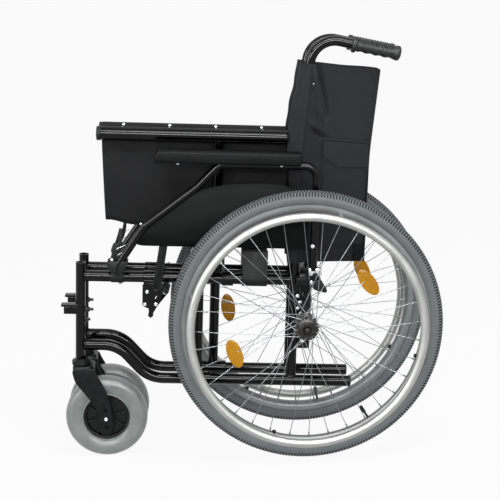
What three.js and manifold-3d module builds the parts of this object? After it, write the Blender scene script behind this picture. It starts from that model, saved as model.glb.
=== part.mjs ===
// Folding wheelchair, folded, as an assembly of separate pieces.
// Millimetres, +Z up, +X to the rear, and the left side towards -Y.
// A side is built once, with +Y outwards from its frame plane, and the left side is its mirror image.
// The frame leans back a little, so its tubes are drawn in its own axes: u along, y across and w up.
import * as THREE from "three";
import { mergeVertices } from "three/addons/utils/BufferGeometryUtils.js";
import loadManifold from "manifold-3d";

const kernel = await loadManifold();
kernel.setup();

// Driving dimensions
const degree = Math.PI / 180;
const fit = { seat: 0.3, turning: 0.6, overrun: 30, weldTolerance: 1e-3 };
const frame = { lean: 3.7 * degree, half: 43 };
const sideTube = { radius: 12.5, wall: 1.8, upper: 398.5, front: 239, lower: 163, rear: 241, plug: 12 };
const post = { atU: -374, low: 208, above: 31, radius: 11, wall: 2 };
const hook = { rise: 103, reach: 26, half: 8, height: 17, flangeReach: 32, flangeHalf: 10, flange: 6 };
const sBend = { frontU: -290, rearU: -219, radius: 40 };
const cane = {
  atU: 104, radius: 11, wall: 2, leanFrom: 690, leanBy: 20.3, handle: 940.9, knee: 120, bendRadius: 54,
};
const grip = { behindCane: 86, droop: 10 * degree, length: 108, radius: 15, end: 6 };
const gripRibs = { count: 6, height: 1.2, pitch: 14, length: 8, start: 14, collar: 8 };
const wheel = { centreX: 147.25, out: 76, radius: 305, facets: 32, tyreHalf: 18, seatRadius: 277 };
const rim = { inner: 255, shoulder: 263, half: 13, innerHalf: 8, lip: 3, channel: 270 };
const hub = {
  radius: 14, flange: 25, flangeAt: 23, flangeThick: 3, inner: 30, cap: 17.6, capFrom: 28,
  outer: 36,
};
const spoke = {
  perFlange: 18, radius: 1.1, holeRadius: 21, sweep: 60 * degree, rimSpread: 2,
  crossing: 1.4,
};
const reflector = { centre: 168, long: 34, short: 16.5, thick: 6, out: 10, places: [198.3, 34.8] };
const handrim = {
  out: 50, radius: 254.5, tube: 9.5, tabRadius: 3.5, tabCircle: 260, firstTab: 72, tabs: 4,
};
const rightWheelTurn = -12.7;
const button = { radius: 8, recess: 5, travel: 4, proud: 7, stem: 3, stemLength: 14 };
const axle = { radius: 6.35, sleeve: 11, sleeveTo: 45, nut: 11, nutThick: 9, end: 30.5 };
const axlePlate = { thick: 6, behindCane: 4, long: 35, tall: 146, holeRadius: 6.3 };
const axlePlateHoles = [18, 39, 107, 128];
const caster = {
  centreX: -308, radius: 93.5, facets: 24, half: 22, seatRadius: 52, bore: 4, boss: 16,
  bossHalf: 20,
};
const casterWeb = { half: 8, rimThick: 8 };
const fork = {
  blade: 4, gap: 3.3, ahead: 74, long: 52, crown: 15, crownGap: 7, cap: 19, hole: 3.2,
  holeStep: 19,
};
const forkAxle = { radius: 4, head: 8, headThick: 5 };
const stem = { radius: 7, length: 27 };
const fold = { railFolded: 718, railOpen: 452, armShare: 0.93 };
const bar = {
  radius: 11, leftU: -110, rightU: -73, sleeve: 16.5, sleeveHalf: 30, bolt: 4, washer: 9,
  nut: 8, nutThick: 6,
};
const rail = { front: -341, rear: 83, radius: 11, cap: 13, capLength: 9 };
const link = {
  length: 160.34, inwards: 9.75 * degree, thick: 6, half: 8, gap: 2, sleeve: 16.5,
  sleeveLength: 26,
};
const linkBolt = { radius: 6, height: 4 };
const cradle = {
  front: -14, rear: 42, rise: 66.5, groove: 15, inwards: 17.5, wall: 4, out: 15, foot: 16.5,
};
const seat = {
  frontGap: 14, rearGap: 5, thick: 4, drop: 165, offset: 15.5, tilt: 7.35 * degree, rise: 4,
};
const seatNotch = { drop: 84, before: 6, after: 42 };
const back = {
  aboveTube: 41.5, belowHandle: 60.9, thick: 4, loop: 50, loopSlack: 1.3, sleeveWall: 2.6,
  outer: 158, inner: 40, innerThick: 3, tilt: 8 * degree,
};
const backFold = { turn: 160.8 * degree, gap: 2.6, start: 12 };
const pocket = { front: 44, rear: 150, below: 161, tall: 125, thick: 2.5 };
const arm = {
  out: 39, radius: 10, footU: -290, aboveTube: 13, knee: 20.5, bendRadius: 26,
  padUnder: 662,
};
const armBends = {
  lowU: -232, lowDrop: 140, highU: -118, highDrop: 50, underU: -71.5, beforePivot: 5,
};
const pad = { front: -216, rear: 106, half: 23, thick: 31, edge: 5, nose: 10 };
const skirt = {
  thick: 3, below: 41, tall: 143, frontLow: -246, frontHigh: -76, shoulder: 16, rearCut: 24,
};
const armPivot = { atU: 146, rise: 9, eye: 12, neck: 18, half: 6, pin: 4, pinHead: 7, pinHeadThick: 3 };
const socket = { behindCane: 2, behindPivot: 14, under: 7.5, inner: -8, cheekFrom: 22 };
const socketLever = {
  behindPivot: 6, below: 24, pin: 3, thick: 4, hubRadius: 7, reachU: 22, dropW: 16, half: 4,
};
const latch = {
  ahead: 22, behind: 11, clamp: 16.5, shelf: 9, cupRadius: 15, cup: 8.5, screw: 3.5,
  screwHeight: 4,
};
const latchLever = {
  ahead: 14, rise: 9, alongU: 19, tall: 71, half: 3.5, thick: 5, pin: 3, lug: 6, eye: 6,
};
const brake = {
  front: -236, long: 62, below: 15.5, tall: 76, thick: 4, clampFrom: 2, clampTo: 28,
  clamp: 16.5,
};
const brakeShares = [
  [0, 1], [0.85, 1], [1, 0.8], [0.68, 0.5], [0.35, 0.19], [0.35, 0], [0.25, 0], [0.25, 0.19], [0.02, 0.4],
];
const brakeBoltShares = [[0.18, 0.8], [0.8, 0.745], [0.13, 0.42], [0.5, 0.42], [0.3, 0.15]];
const brakeBolt = { radius: 3.4, height: 2 };
const brakePivot = { ahead: 31, below: 14, pin: 4, head: 7, headThick: 2.5 };
const lever = { alongU: 21, tall: 153, half: 9, thick: 4 };
const shoe = { alongU: 23, rise: 19, radius: 5.5, out: 88 };

// Unit outlines: shares of the height above the seat of the tyre and of its half width
const tyreShares = [[0.07, 0.8], [0.5, 1], [1, 0.4]];
const casterTyreShares = [[0, 0.7], [0.35, 1], [0.75, 0.8], [1, 0.3]];
const forkCrownShare = 0.92;
const forkBladeShares = [
  [-0.06, 0.66], [0.33, 0.36], [0.58, 0], [0.72, -0.27], [0.94, -0.34],
  [1.16, -0.25], [1.27, 0], [1.13, 0.45], [0.82, 0.75],
];
const bendStep = 30 * degree;
const sides = { tube: 12, bore: 6, small: 8, spoke: 3, ring: 6, grip: 10 };

// Places that follow from the driving dimensions
const postTop = sideTube.upper + post.above;
const hookLow = post.low + hook.rise;
const hookTop = hookLow + hook.height;
const axlePlateFront = cane.atU + axlePlate.behindCane;
const axlePlateRear = axlePlateFront + axlePlate.long;
const axlePlateTop = sideTube.upper - sideTube.radius;
const axlePlateLow = axlePlateTop - axlePlate.tall;
const forkFront = caster.centreX - fork.ahead;
const forkRear = forkFront + fork.long;
const cradleTop = sideTube.upper + cradle.rise;
const seatFront = rail.front + seat.frontGap;
const seatRear = rail.rear - seat.rearGap;
const backLow = sideTube.upper + back.aboveTube;
const backTop = cane.handle - back.belowHandle;
const pocketTop = backTop - pocket.below;
const pocketLow = pocketTop - pocket.tall;
const armFoot = sideTube.upper + arm.aboveTube;
const armKnee = armFoot + arm.knee;
const armLow = arm.padUnder - armBends.lowDrop;
const armHigh = arm.padUnder - armBends.highDrop;
const skirtTop = arm.padUnder - skirt.below;
const skirtLow = skirtTop - skirt.tall;
const socketTop = sideTube.upper + sideTube.radius;
const socketLow = sideTube.upper - socket.under;
const armPivotW = socketTop + armPivot.rise;
const armRearU = armPivot.atU - armBends.beforePivot;
const socketFront = cane.atU + socket.behindCane;
const socketRear = armPivot.atU + socket.behindPivot;
const socketLeverU = armPivot.atU + socketLever.behindPivot;
const socketLeverW = armPivotW - socketLever.below;
const latchFront = arm.footU - latch.ahead;
const latchRear = arm.footU + latch.behind;
const latchCupTop = armFoot + latch.cup;
const latchLeverU = arm.footU - latchLever.ahead;
const latchLeverW = armKnee + latchLever.rise;
const latchTopU = latchLeverU + latchLever.alongU;
const latchTopW = latchLeverW + latchLever.tall;
const brakeRear = brake.front + brake.long;
const brakeTop = sideTube.upper - brake.below;
const brakeLow = brakeTop - brake.tall;
const brakeClampFrom = brake.front + brake.clampFrom;
const brakeClampTo = brake.front + brake.clampTo;
const brakePivotU = brakeRear - brakePivot.ahead;
const brakePivotW = brakeTop - brakePivot.below;
const leverTopU = brakePivotU + lever.alongU;
const leverTop = brakePivotW + lever.tall;
const shoeU = brakePivotU + shoe.alongU;
const shoeW = brakePivotW + shoe.rise;
const wheelZ = wheel.radius * Math.cos(Math.PI / wheel.facets);
const casterZ = caster.radius * Math.cos(Math.PI / caster.facets);
const middleX = (wheel.centreX + wheelZ + caster.centreX - casterZ) / 2;
const lowArmShare = 1 / (1 + fold.armShare);
const foldHeight = fold.railFolded - sideTube.lower;
const crossing = sideTube.lower + foldHeight * lowArmShare;
const railHalf = frame.half * fold.armShare;
const railOut = railHalf - frame.half;
const frameU = (x, z) => x * Math.cos(frame.lean) - z * Math.sin(frame.lean);
const frameW = (x, z) => x * Math.sin(frame.lean) + z * Math.cos(frame.lean);
const chairX = (u, w) => u * Math.cos(frame.lean) + w * Math.sin(frame.lean);
const chairZ = (u, w) => w * Math.cos(frame.lean) - u * Math.sin(frame.lean);
const axleU = frameU(wheel.centreX, wheelZ);
const axleW = frameW(wheel.centreX, wheelZ);
const crownTop = chairZ(post.atU + post.radius, post.low) - fit.seat;
const stemX = chairX(post.atU, post.low + stem.length / 2);
const gripDirection = new THREE.Vector3(Math.cos(grip.droop), 0, -Math.sin(grip.droop));
const caneAt = (w) =>
  cane.atU + (cane.leanBy * Math.max(w - cane.leanFrom, 0)) / (cane.handle - cane.leanFrom);
const loopLow = backLow + back.loop / 2;
const loopHigh = backTop - back.loop / 2;
const loopLean = caneAt(loopHigh) - caneAt(loopLow);
const backDirection = new THREE.Vector3(loopLean, 0, loopHigh - loopLow).normalize();

// Solids from three.js geometry
function solidFrom(geometry) {
  const source = geometry.index ? geometry.toNonIndexed() : geometry;
  const bare = new THREE.BufferGeometry().setAttribute("position", source.getAttribute("position"));
  const merged = mergeVertices(bare, fit.weldTolerance);
  return new kernel.Manifold(
    new kernel.Mesh({
      numProp: 3,
      vertProperties: new Float32Array(merged.attributes.position.array),
      triVerts: new Uint32Array(merged.index.array),
    }),
  );
}

// The radius of a faceted bore whose flats clear a faceted tube's corners
const spaceAround = (radius, count = sides.tube) => (radius + fit.seat) / Math.cos(Math.PI / count);
const point = (u, y, w) => new THREE.Vector3(u, y, w);

function rod(from, to, radius, count = sides.tube) {
  const geometry = new THREE.CylinderGeometry(radius, radius, from.distanceTo(to), count);
  const turn = new THREE.Quaternion().setFromUnitVectors(
    point(0, 1, 0),
    to.clone().sub(from).normalize(),
  );
  geometry.applyQuaternion(turn);
  const middle = from.clone().add(to).multiplyScalar(0.5);
  return solidFrom(geometry.translate(middle.x, middle.y, middle.z));
}

function block(low, high) {
  const size = high.clone().sub(low);
  const middle = low.clone().add(high).multiplyScalar(0.5);
  return solidFrom(new THREE.BoxGeometry(size.x, size.y, size.z).translate(middle.x, middle.y, middle.z));
}

// A flat outline in the u, w plane with its thickness across
function slab(outline, inner, outer) {
  const shape = new THREE.Shape(outline.map(([u, w]) => new THREE.Vector2(u, w)));
  const geometry = new THREE.ExtrudeGeometry(shape, { depth: outer - inner, bevelEnabled: false });
  return solidFrom(geometry.rotateX(Math.PI / 2).translate(0, outer, 0));
}

// A ring or a solid turned about the Y axis, its profile running outwards along its low side
function turned(profile, facets) {
  const points = profile.map(([radius, y]) => new THREE.Vector2(radius, y));
  return solidFrom(new THREE.LatheGeometry([...points, points[0]], facets, Math.PI / facets));
}

// A line with rounded corners whose stations are exactly where an extrusion puts its rings
class BentLine extends THREE.Curve {
  constructor(corners, radii, stepAngle = bendStep) {
    super();
    this.stations = [corners[0]];
    corners.slice(1, -1).forEach((corner, index) => {
      const before = corners[index].clone().sub(corner).normalize();
      const after = corners[index + 2].clone().sub(corner).normalize();
      const bend = Math.PI - before.angleTo(after);
      const toTangent = radii[index] * Math.tan(bend / 2);
      const steps = Math.max(2, Math.ceil(bend / stepAngle));
      const centre = before.clone().add(after).normalize();
      centre.multiplyScalar(radii[index] / Math.cos(bend / 2)).add(corner);
      const start = before.clone().multiplyScalar(toTangent).add(corner).sub(centre);
      const axis = before.clone().negate().cross(after).normalize();
      for (let step = 0; step <= steps; step += 1) {
        this.stations.push(start.clone().applyAxisAngle(axis, (bend * step) / steps).add(centre));
      }
    });
    this.stations.push(corners[corners.length - 1]);
    this.last = this.stations.length - 1;
  }
  getUtoTmapping(share) {
    return share;
  }
  getPoint(share, target = new THREE.Vector3()) {
    const index = Math.min(Math.floor(share * this.last), this.last - 1);
    return target.lerpVectors(this.stations[index], this.stations[index + 1], share * this.last - index);
  }
  getTangent(share, target = new THREE.Vector3()) {
    const index = Math.round(share * this.last);
    const here = this.stations[index];
    const next = this.stations[Math.min(index + 1, this.last)].clone().sub(here).normalize();
    const before = here.clone().sub(this.stations[Math.max(index - 1, 0)]).normalize();
    return target.copy(next).add(before).normalize();
  }
}

function bentRod(corners, radii, radius, count = sides.tube) {
  const line = new BentLine(corners, radii);
  const ring = Array.from({ length: count }, (_, index) => {
    const angle = (index / count) * 2 * Math.PI;
    return new THREE.Vector2(radius * Math.cos(angle), radius * Math.sin(angle));
  });
  const options = { steps: line.last, extrudePath: line, bevelEnabled: false };
  return solidFrom(new THREE.ExtrudeGeometry(new THREE.Shape(ring), options));
}

const union = (...solids) => kernel.Manifold.union(solids);

// Turns a solid made along +Y onto another direction and sets it at a place
function laidAlong(solid, direction, place) {
  const turn = new THREE.Quaternion().setFromUnitVectors(point(0, 1, 0), direction);
  const matrix = new THREE.Matrix4().compose(place, turn, point(1, 1, 1));
  return solid.transform(matrix.elements);
}

// Meshes and materials
function meshOf(name, solid, material) {
  const data = solid.getMesh();
  const geometry = new THREE.BufferGeometry();
  geometry.setAttribute("position", new THREE.BufferAttribute(new Float32Array(data.vertProperties), 3));
  geometry.setIndex(new THREE.BufferAttribute(new Uint32Array(data.triVerts), 1));
  const flat = geometry.toNonIndexed();
  flat.computeVertexNormals();
  const mesh = new THREE.Mesh(flat, material);
  mesh.name = name;
  return mesh;
}

const finish = (color, roughness, metalness = 0) =>
  new THREE.MeshStandardMaterial({ color, roughness, metalness });
const materials = {
  paint: () => finish("#15171a", 0.25, 0.3),
  steel: () => finish("#c9cccc", 0.3, 0.9),
  tyre: () => finish("#9aa0a8", 0.85),
  casterTyre: () => finish("#b4b9b8", 0.7),
  plastic: () => finish("#1a1d1d", 0.55),
  grip: () => finish("#17191b", 0.7),
  fabric: () => finish("#2c2d31", 0.9),
  pad: () => finish("#1b1c1e", 0.6),
};

// Frame tubes
function frontPost() {
  const body = rod(point(post.atU, 0, post.low), point(post.atU, 0, postTop), post.radius);
  const hookFront = post.atU - post.radius - hook.reach;
  const stub = block(point(hookFront, -hook.half, hookLow), point(post.atU, hook.half, hookTop));
  const flange = block(
    point(post.atU - post.radius - hook.flangeReach, -hook.flangeHalf, hookTop - fit.seat),
    point(post.atU, hook.flangeHalf, hookTop + hook.flange),
  );
  return union(body, stub, flange).subtract(rod(...postLine(), post.radius - post.wall));
}

const postLine = () => [
  point(post.atU, 0, post.low - fit.overrun),
  point(post.atU, 0, postTop + fit.overrun),
];
const postSpace = () => rod(...postLine(), post.radius + fit.seat);
const caneCorner = () => point(cane.atU + cane.leanBy, 0, cane.handle);
const caneLine = () => [
  point(cane.atU, 0, sideTube.lower),
  point(cane.atU, 0, cane.leanFrom),
  caneCorner(),
  caneCorner().addScaledVector(gripDirection, grip.behindCane + grip.length - grip.end),
];
const caneRadii = [cane.knee, cane.bendRadius];
const caneSpace = (radius) =>
  rod(
    point(cane.atU, 0, sideTube.lower - fit.overrun),
    point(cane.atU, 0, cane.leanFrom + fit.overrun),
    radius,
  );

function upperTube() {
  const ends = [point(post.atU, 0, sideTube.upper), point(cane.atU, 0, sideTube.upper)];
  return rod(...ends, sideTube.radius)
    .subtract(rod(...ends, sideTube.radius - sideTube.wall))
    .subtract(postSpace())
    .subtract(caneSpace(cane.radius + fit.seat));
}

function lowerTube() {
  const line = (rearEnd) => [
    point(post.atU, 0, sideTube.front),
    point(sBend.frontU, 0, sideTube.front),
    point(sBend.rearU, 0, sideTube.lower),
    point(rearEnd, 0, sideTube.lower),
  ];
  const radii = [sBend.radius, sBend.radius];
  const inner = sideTube.radius - sideTube.wall;
  const bore = bentRod(line(sideTube.rear - sideTube.plug), radii, inner, sides.bore);
  return bentRod(line(sideTube.rear), radii, sideTube.radius).subtract(bore).subtract(postSpace());
}

function backCane() {
  const seatOnTube = rod(
    point(cane.atU - fit.overrun, 0, sideTube.lower),
    point(cane.atU + fit.overrun, 0, sideTube.lower),
    sideTube.radius + fit.seat,
  );
  return bentRod(caneLine(), caneRadii, cane.radius)
    .subtract(bentRod(caneLine(), caneRadii, cane.radius - cane.wall, sides.bore))
    .subtract(seatOnTube);
}

function pushGrip() {
  const inner = spaceAround(cane.radius);
  const profile = [[0, 0], [grip.radius, 0], [grip.radius, gripRibs.collar]];
  for (let rib = 0; rib < gripRibs.count; rib += 1) {
    const at = gripRibs.start + rib * gripRibs.pitch;
    profile.push([grip.radius, at]);
    profile.push([grip.radius + gripRibs.height, at + gripRibs.length / 2]);
    profile.push([grip.radius, at + gripRibs.length]);
  }
  profile.push([grip.radius, grip.length - grip.end / 2]);
  profile.push([grip.radius - grip.end / 2, grip.length]);
  profile.push([0, grip.length]);
  const bore = rod(point(0, -fit.overrun, 0), point(0, grip.length - grip.end + fit.seat, 0), inner);
  const start = caneCorner().addScaledVector(gripDirection, grip.behindCane);
  return laidAlong(turned(profile, sides.grip).subtract(bore), gripDirection, start);
}

// Rear axle and its plate of spare holes
function axlePlateWithAxle() {
  const half = axlePlate.thick / 2;
  const lowFront = point(axlePlateFront, -half, axlePlateLow);
  const plate = block(lowFront, point(axlePlateRear, half, axlePlateTop));
  const across = (from, to, radius, u = axleU, w = axleW) => rod(point(u, from, w), point(u, to, w), radius);
  const holes = axlePlateHoles.map((rise) =>
    across(-fit.overrun, fit.overrun, axlePlate.holeRadius, axleU, axlePlateLow + rise),
  );
  const end = wheel.out + axle.end;
  const buttonBore = button.stemLength + button.travel;
  return union(
    plate.subtract(caneSpace(cane.radius + fit.seat)).subtract(union(...holes)),
    across(-half - axle.nutThick, -half + fit.seat, axle.nut),
    across(0, axle.sleeveTo, axle.sleeve),
    across(0, end, axle.radius),
  ).subtract(across(end - buttonBore, end + fit.overrun, button.stem + fit.seat));
}

// Rear wheel, drawn round the origin with its outer face towards +Y
const onCircle = (radius, angle, y) => point(radius * Math.cos(angle), y, radius * Math.sin(angle));

function wheelHub(turn) {
  const bore = axle.radius + fit.seat;
  const recess = button.radius + fit.turning;
  const body = turned(
    [
      [bore, -hub.inner],
      [hub.radius, -hub.inner],
      [hub.radius, -hub.flangeAt - hub.flangeThick],
      [hub.flange, -hub.flangeAt - hub.flangeThick],
      [hub.flange, -hub.flangeAt],
      [hub.radius, -hub.flangeAt],
      [hub.radius, hub.flangeAt],
      [hub.flange, hub.flangeAt],
      [hub.flange, hub.flangeAt + hub.flangeThick],
      [hub.cap, hub.capFrom],
      [hub.cap, hub.outer],
      [recess, hub.outer],
      [recess, hub.outer - button.recess],
      [bore, hub.outer - button.recess],
    ],
    sides.tube,
  );
  const pieces = [body];
  const reach = rim.inner * Math.cos(Math.PI / wheel.facets) - fit.seat;
  const pitch = (2 * Math.PI) / spoke.perFlange;
  [1, -1].forEach((flangeSide) => {
    for (let index = 0; index < spoke.perFlange; index += 1) {
      const start = turn * degree + (index + (flangeSide > 0 ? 0 : 0.5)) * pitch;
      const leading = index % 2;
      const end = start + (leading ? spoke.sweep : -spoke.sweep);
      const flangeY = hub.flangeAt + hub.flangeThick / 2 + (leading ? spoke.crossing : -spoke.crossing);
      const rimY = spoke.rimSpread + (leading ? spoke.crossing : 0);
      const from = onCircle(spoke.holeRadius, start, flangeSide * flangeY);
      pieces.push(rod(from, onCircle(reach, end, flangeSide * rimY), spoke.radius, sides.spoke));
    }
  });
  reflector.places.forEach((place) => {
    const angle = (place + turn) * degree;
    const disc = new THREE.CylinderGeometry(1, 1, 1, sides.tube);
    disc.scale(reflector.short, reflector.thick, reflector.long).rotateY(-angle);
    const at = onCircle(reflector.centre, angle, reflector.out);
    pieces.push(solidFrom(disc.translate(at.x, at.y, at.z)));
  });
  return union(...pieces);
}

function wheelRim() {
  const profile = [
    [rim.inner, -rim.innerHalf],
    [rim.shoulder, -rim.half],
    [wheel.seatRadius, -rim.half],
    [wheel.seatRadius, -rim.half + rim.lip],
    [rim.channel, -rim.half + rim.lip],
    [rim.channel, rim.half - rim.lip],
    [wheel.seatRadius, rim.half - rim.lip],
    [wheel.seatRadius, rim.half],
    [rim.shoulder, rim.half],
    [rim.inner, rim.innerHalf],
  ];
  return turned(profile, wheel.facets);
}

function tyreProfile(shares, seatRadius, radius, half) {
  const outline = shares.map(([up, across]) => [seatRadius + up * (radius - seatRadius), across * half]);
  return [...outline.map(([r, y]) => [r, -y]), ...outline.reverse()];
}

function wheelTyre() {
  const bead = rim.half - rim.lip - fit.seat;
  const seated = wheel.seatRadius + fit.turning;
  const outer = tyreProfile(tyreShares, seated, wheel.radius, wheel.tyreHalf);
  const start = [[rim.channel + fit.seat, -bead], [seated, -bead]];
  const end = [[seated, bead], [rim.channel + fit.seat, bead]];
  return turned([...start, ...outer, ...end], wheel.facets);
}

function wheelHandrim(turn) {
  const ring = Array.from({ length: sides.ring }, (_, index) => {
    const angle = (index / sides.ring) * 2 * Math.PI;
    return [handrim.radius + handrim.tube * Math.cos(angle), handrim.out + handrim.tube * Math.sin(angle)];
  });
  const tabs = Array.from({ length: handrim.tabs }, (_, index) => {
    const angle = (handrim.firstTab + turn + (index * 360) / handrim.tabs) * degree;
    const from = onCircle(handrim.tabCircle, angle, rim.half + fit.seat);
    return rod(from, onCircle(handrim.tabCircle, angle, handrim.out), handrim.tabRadius, sides.small);
  });
  return union(turned(ring, wheel.facets), ...tabs);
}

function axleButton() {
  const rest = hub.outer - button.recess + button.travel + fit.turning;
  const dome = turned(
    [
      [0, rest],
      [button.radius, rest],
      [button.radius, rest + button.proud / 2],
      [button.radius / 2, rest + button.proud],
      [0, rest + button.proud],
    ],
    sides.small,
  );
  const stemEnd = point(0, rest - button.stemLength, 0);
  return dome.add(rod(stemEnd, point(0, rest + fit.turning, 0), button.stem, sides.small));
}

// Caster: the fork in the chair's axes, the wheel and its tyre round their own centre
function casterFork() {
  const bladeInner = caster.half + fork.gap;
  const bladeOuter = bladeInner + fork.blade;
  const crownLow = 2 * casterZ + fork.crownGap;
  const crownHigh = crownLow + fork.crown;
  const behind = caster.centreX - stemX;
  const height = crownHigh - casterZ;
  const blade = forkBladeShares.map(([back, up]) => [stemX + back * behind, casterZ + up * height]);
  const shoulder = casterZ + forkCrownShare * height;
  const front = [[forkFront, crownHigh], [forkFront, shoulder]];
  const outline = [...front, ...blade, [forkRear, shoulder], [forkRear, crownHigh]];
  const across = (from, to, radius, z = casterZ) =>
    rod(point(caster.centreX, from, z), point(caster.centreX, to, z), radius, sides.small);
  const holes = [1, -1].map((way) =>
    across(-bladeOuter - fit.overrun, bladeOuter + fit.overrun, fork.hole, casterZ + way * fork.holeStep),
  );
  const crown = block(point(forkFront, -bladeOuter, crownLow), point(forkRear, bladeOuter, crownHigh));
  const blades = union(slab(outline, bladeInner, bladeOuter), slab(outline, -bladeOuter, -bladeInner));
  const headEnd = bladeOuter + forkAxle.headThick;
  return union(
    crown,
    blades.subtract(union(...holes)),
    rod(point(stemX, 0, crownHigh - fit.seat), point(stemX, 0, crownTop), fork.cap),
    rod(point(stemX, 0, crownHigh), point(stemX, 0, crownTop + stem.length), stem.radius, sides.small),
    across(-headEnd, headEnd, forkAxle.radius),
    across(bladeOuter - fit.seat, headEnd, forkAxle.head),
    across(-headEnd, -bladeOuter + fit.seat, forkAxle.head),
  );
}

function casterWheel() {
  const edge = caster.seatRadius - fit.seat;
  const edgeHalf = casterTyreShares[0][1] * caster.half;
  const low = [
    [caster.bore + fit.seat, -caster.bossHalf],
    [caster.boss, -caster.bossHalf],
    [edge - casterWeb.rimThick, -casterWeb.half],
    [edge, -edgeHalf],
  ];
  return turned([...low, ...low.map(([radius, y]) => [radius, -y]).reverse()], caster.facets);
}

const casterTyre = () =>
  turned(tyreProfile(casterTyreShares, caster.seatRadius, caster.radius, caster.half), caster.facets);

// Cross bars, seat rails, side links and seat
function crossBar(sign, u) {
  const foot = point(u, -sign * frame.half, sideTube.lower);
  const head = point(u, sign * railHalf, fold.railFolded);
  const along = (half, at, radius, count) =>
    rod(point(u - half, at.y, at.z), point(u + half, at.y, at.z), radius, count);
  const railSpace = spaceAround(rail.radius);
  return union(rod(foot, head, bar.radius), along(bar.sleeveHalf, foot, bar.sleeve))
    .subtract(along(bar.sleeveHalf + fit.overrun, foot, spaceAround(sideTube.radius)))
    .subtract(along(bar.radius + fit.overrun, head, railSpace));
}

const pivotRod = (from, to, radius) =>
  rod(point(from, 0, crossing), point(to, 0, crossing), radius, sides.small);

function leftFootedBar() {
  const nutFrom = bar.rightU + bar.radius + fit.turning;
  return union(
    crossBar(1, bar.leftU),
    pivotRod(bar.leftU - bar.radius - bar.nutThick, nutFrom + bar.nutThick, bar.bolt),
    pivotRod(bar.leftU - bar.radius - bar.nutThick, bar.leftU, bar.nut),
    pivotRod(bar.leftU, bar.rightU - bar.radius - fit.turning, bar.washer),
    pivotRod(nutFrom, nutFrom + bar.nutThick, bar.nut),
  );
}

const rightFootedBar = () =>
  crossBar(-1, bar.rightU).subtract(
    pivotRod(bar.rightU - fit.overrun, bar.rightU + fit.overrun, bar.bolt + fit.turning),
  );

function seatRail() {
  const at = (u) => point(u, railOut, fold.railFolded);
  return union(
    rod(at(rail.front), at(rail.rear), rail.radius),
    rod(at(rail.front), at(rail.front + rail.capLength), rail.cap),
    rod(at(rail.rear - rail.capLength), at(rail.rear), rail.cap),
  );
}

function sideLink(barU, behind) {
  const face = barU + behind * (bar.radius + link.gap);
  const low = Math.min(face, face + behind * link.thick);
  const along = point(0, -Math.sin(link.inwards), Math.cos(link.inwards));
  const root = point(low, 0, sideTube.upper);
  const tip = root.clone().addScaledVector(along, link.length);
  const eye = (at, radius, from, to) => rod(point(from, at.y, at.z), point(to, at.y, at.z), radius);
  const strip = solidFrom(
    new THREE.BoxGeometry(link.thick, 2 * link.half, link.length)
      .rotateX(link.inwards)
      .translate(low + link.thick / 2, (root.y + tip.y) / 2, (root.z + tip.z) / 2),
  );
  const sleeveFrom = behind > 0 ? low : low + link.thick - link.sleeveLength;
  const headFrom = behind > 0 ? low + link.thick - fit.seat : low - linkBolt.height;
  const space = [root.clone().setX(low - fit.overrun), root.clone().setX(low + fit.overrun)];
  return union(
    strip,
    eye(tip, link.half, low, low + link.thick),
    eye(root, link.sleeve, sleeveFrom, sleeveFrom + link.sleeveLength),
    eye(tip, linkBolt.radius, headFrom, headFrom + linkBolt.height + fit.seat),
  ).subtract(rod(...space, spaceAround(sideTube.radius)));
}

function seatCradle() {
  const y = -cradle.inwards;
  const inner = y - cradle.groove - cradle.wall;
  const along = (out, w, radius) =>
    rod(point(cradle.front - fit.overrun, out, w), point(cradle.rear + fit.overrun, out, w), radius);
  const body = block(point(cradle.front, inner, sideTube.upper), point(cradle.rear, cradle.out, cradleTop));
  const footEnds = [point(cradle.front, 0, sideTube.upper), point(cradle.rear, 0, sideTube.upper)];
  const foot = rod(...footEnds, cradle.foot);
  const slot = block(
    point(cradle.front - fit.overrun, y - cradle.groove, fold.railOpen),
    point(cradle.rear + fit.overrun, y + cradle.groove, cradleTop + fit.overrun),
  );
  return union(body, foot).subtract(
    union(along(y, fold.railOpen, cradle.groove), slot, along(0, sideTube.upper, sideTube.radius + fit.seat)),
  );
}

// Half of the seat sling: a panel that hangs on the inner side of its rail, notched over its own cross bar
function seatHalf(barU) {
  const panel = new THREE.BoxGeometry(seatRear - seatFront, seat.thick, seat.drop + seat.rise);
  panel.translate((seatFront + seatRear) / 2, -seat.offset, (seat.rise - seat.drop) / 2);
  const notch = new THREE.BoxGeometry(seatNotch.before + seatNotch.after, fit.overrun, seat.drop);
  const notchU = barU + (seatNotch.after - seatNotch.before) / 2;
  notch.translate(notchU, -seat.offset, -seatNotch.drop - seat.drop / 2);
  const place = (geometry) => solidFrom(geometry.rotateX(-seat.tilt).translate(0, railOut, fold.railFolded));
  return place(panel).subtract(place(notch));
}

// Half of the back sling: a strip that points to the rear from the cane and a strip that folds forward again
const backBase = () =>
  point(caneAt(loopLow), 0, loopLow).addScaledVector(backDirection, -back.loop / 2 / backDirection.z);
const backHeight = () => (backTop - backLow) / backDirection.z;

function backStrip(from, to, thick, turn, hinge, height = backHeight(), base = 0) {
  const strip = new THREE.BoxGeometry(to - from, thick, height);
  strip.translate((from + to) / 2, 0, base + height / 2).rotateZ(turn);
  const tilt = new THREE.Quaternion().setFromUnitVectors(point(0, 0, 1), backDirection);
  strip.translate(hinge.x, hinge.y, 0).applyQuaternion(tilt);
  const base3 = backBase();
  return solidFrom(strip.translate(base3.x, base3.y, base3.z));
}

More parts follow.
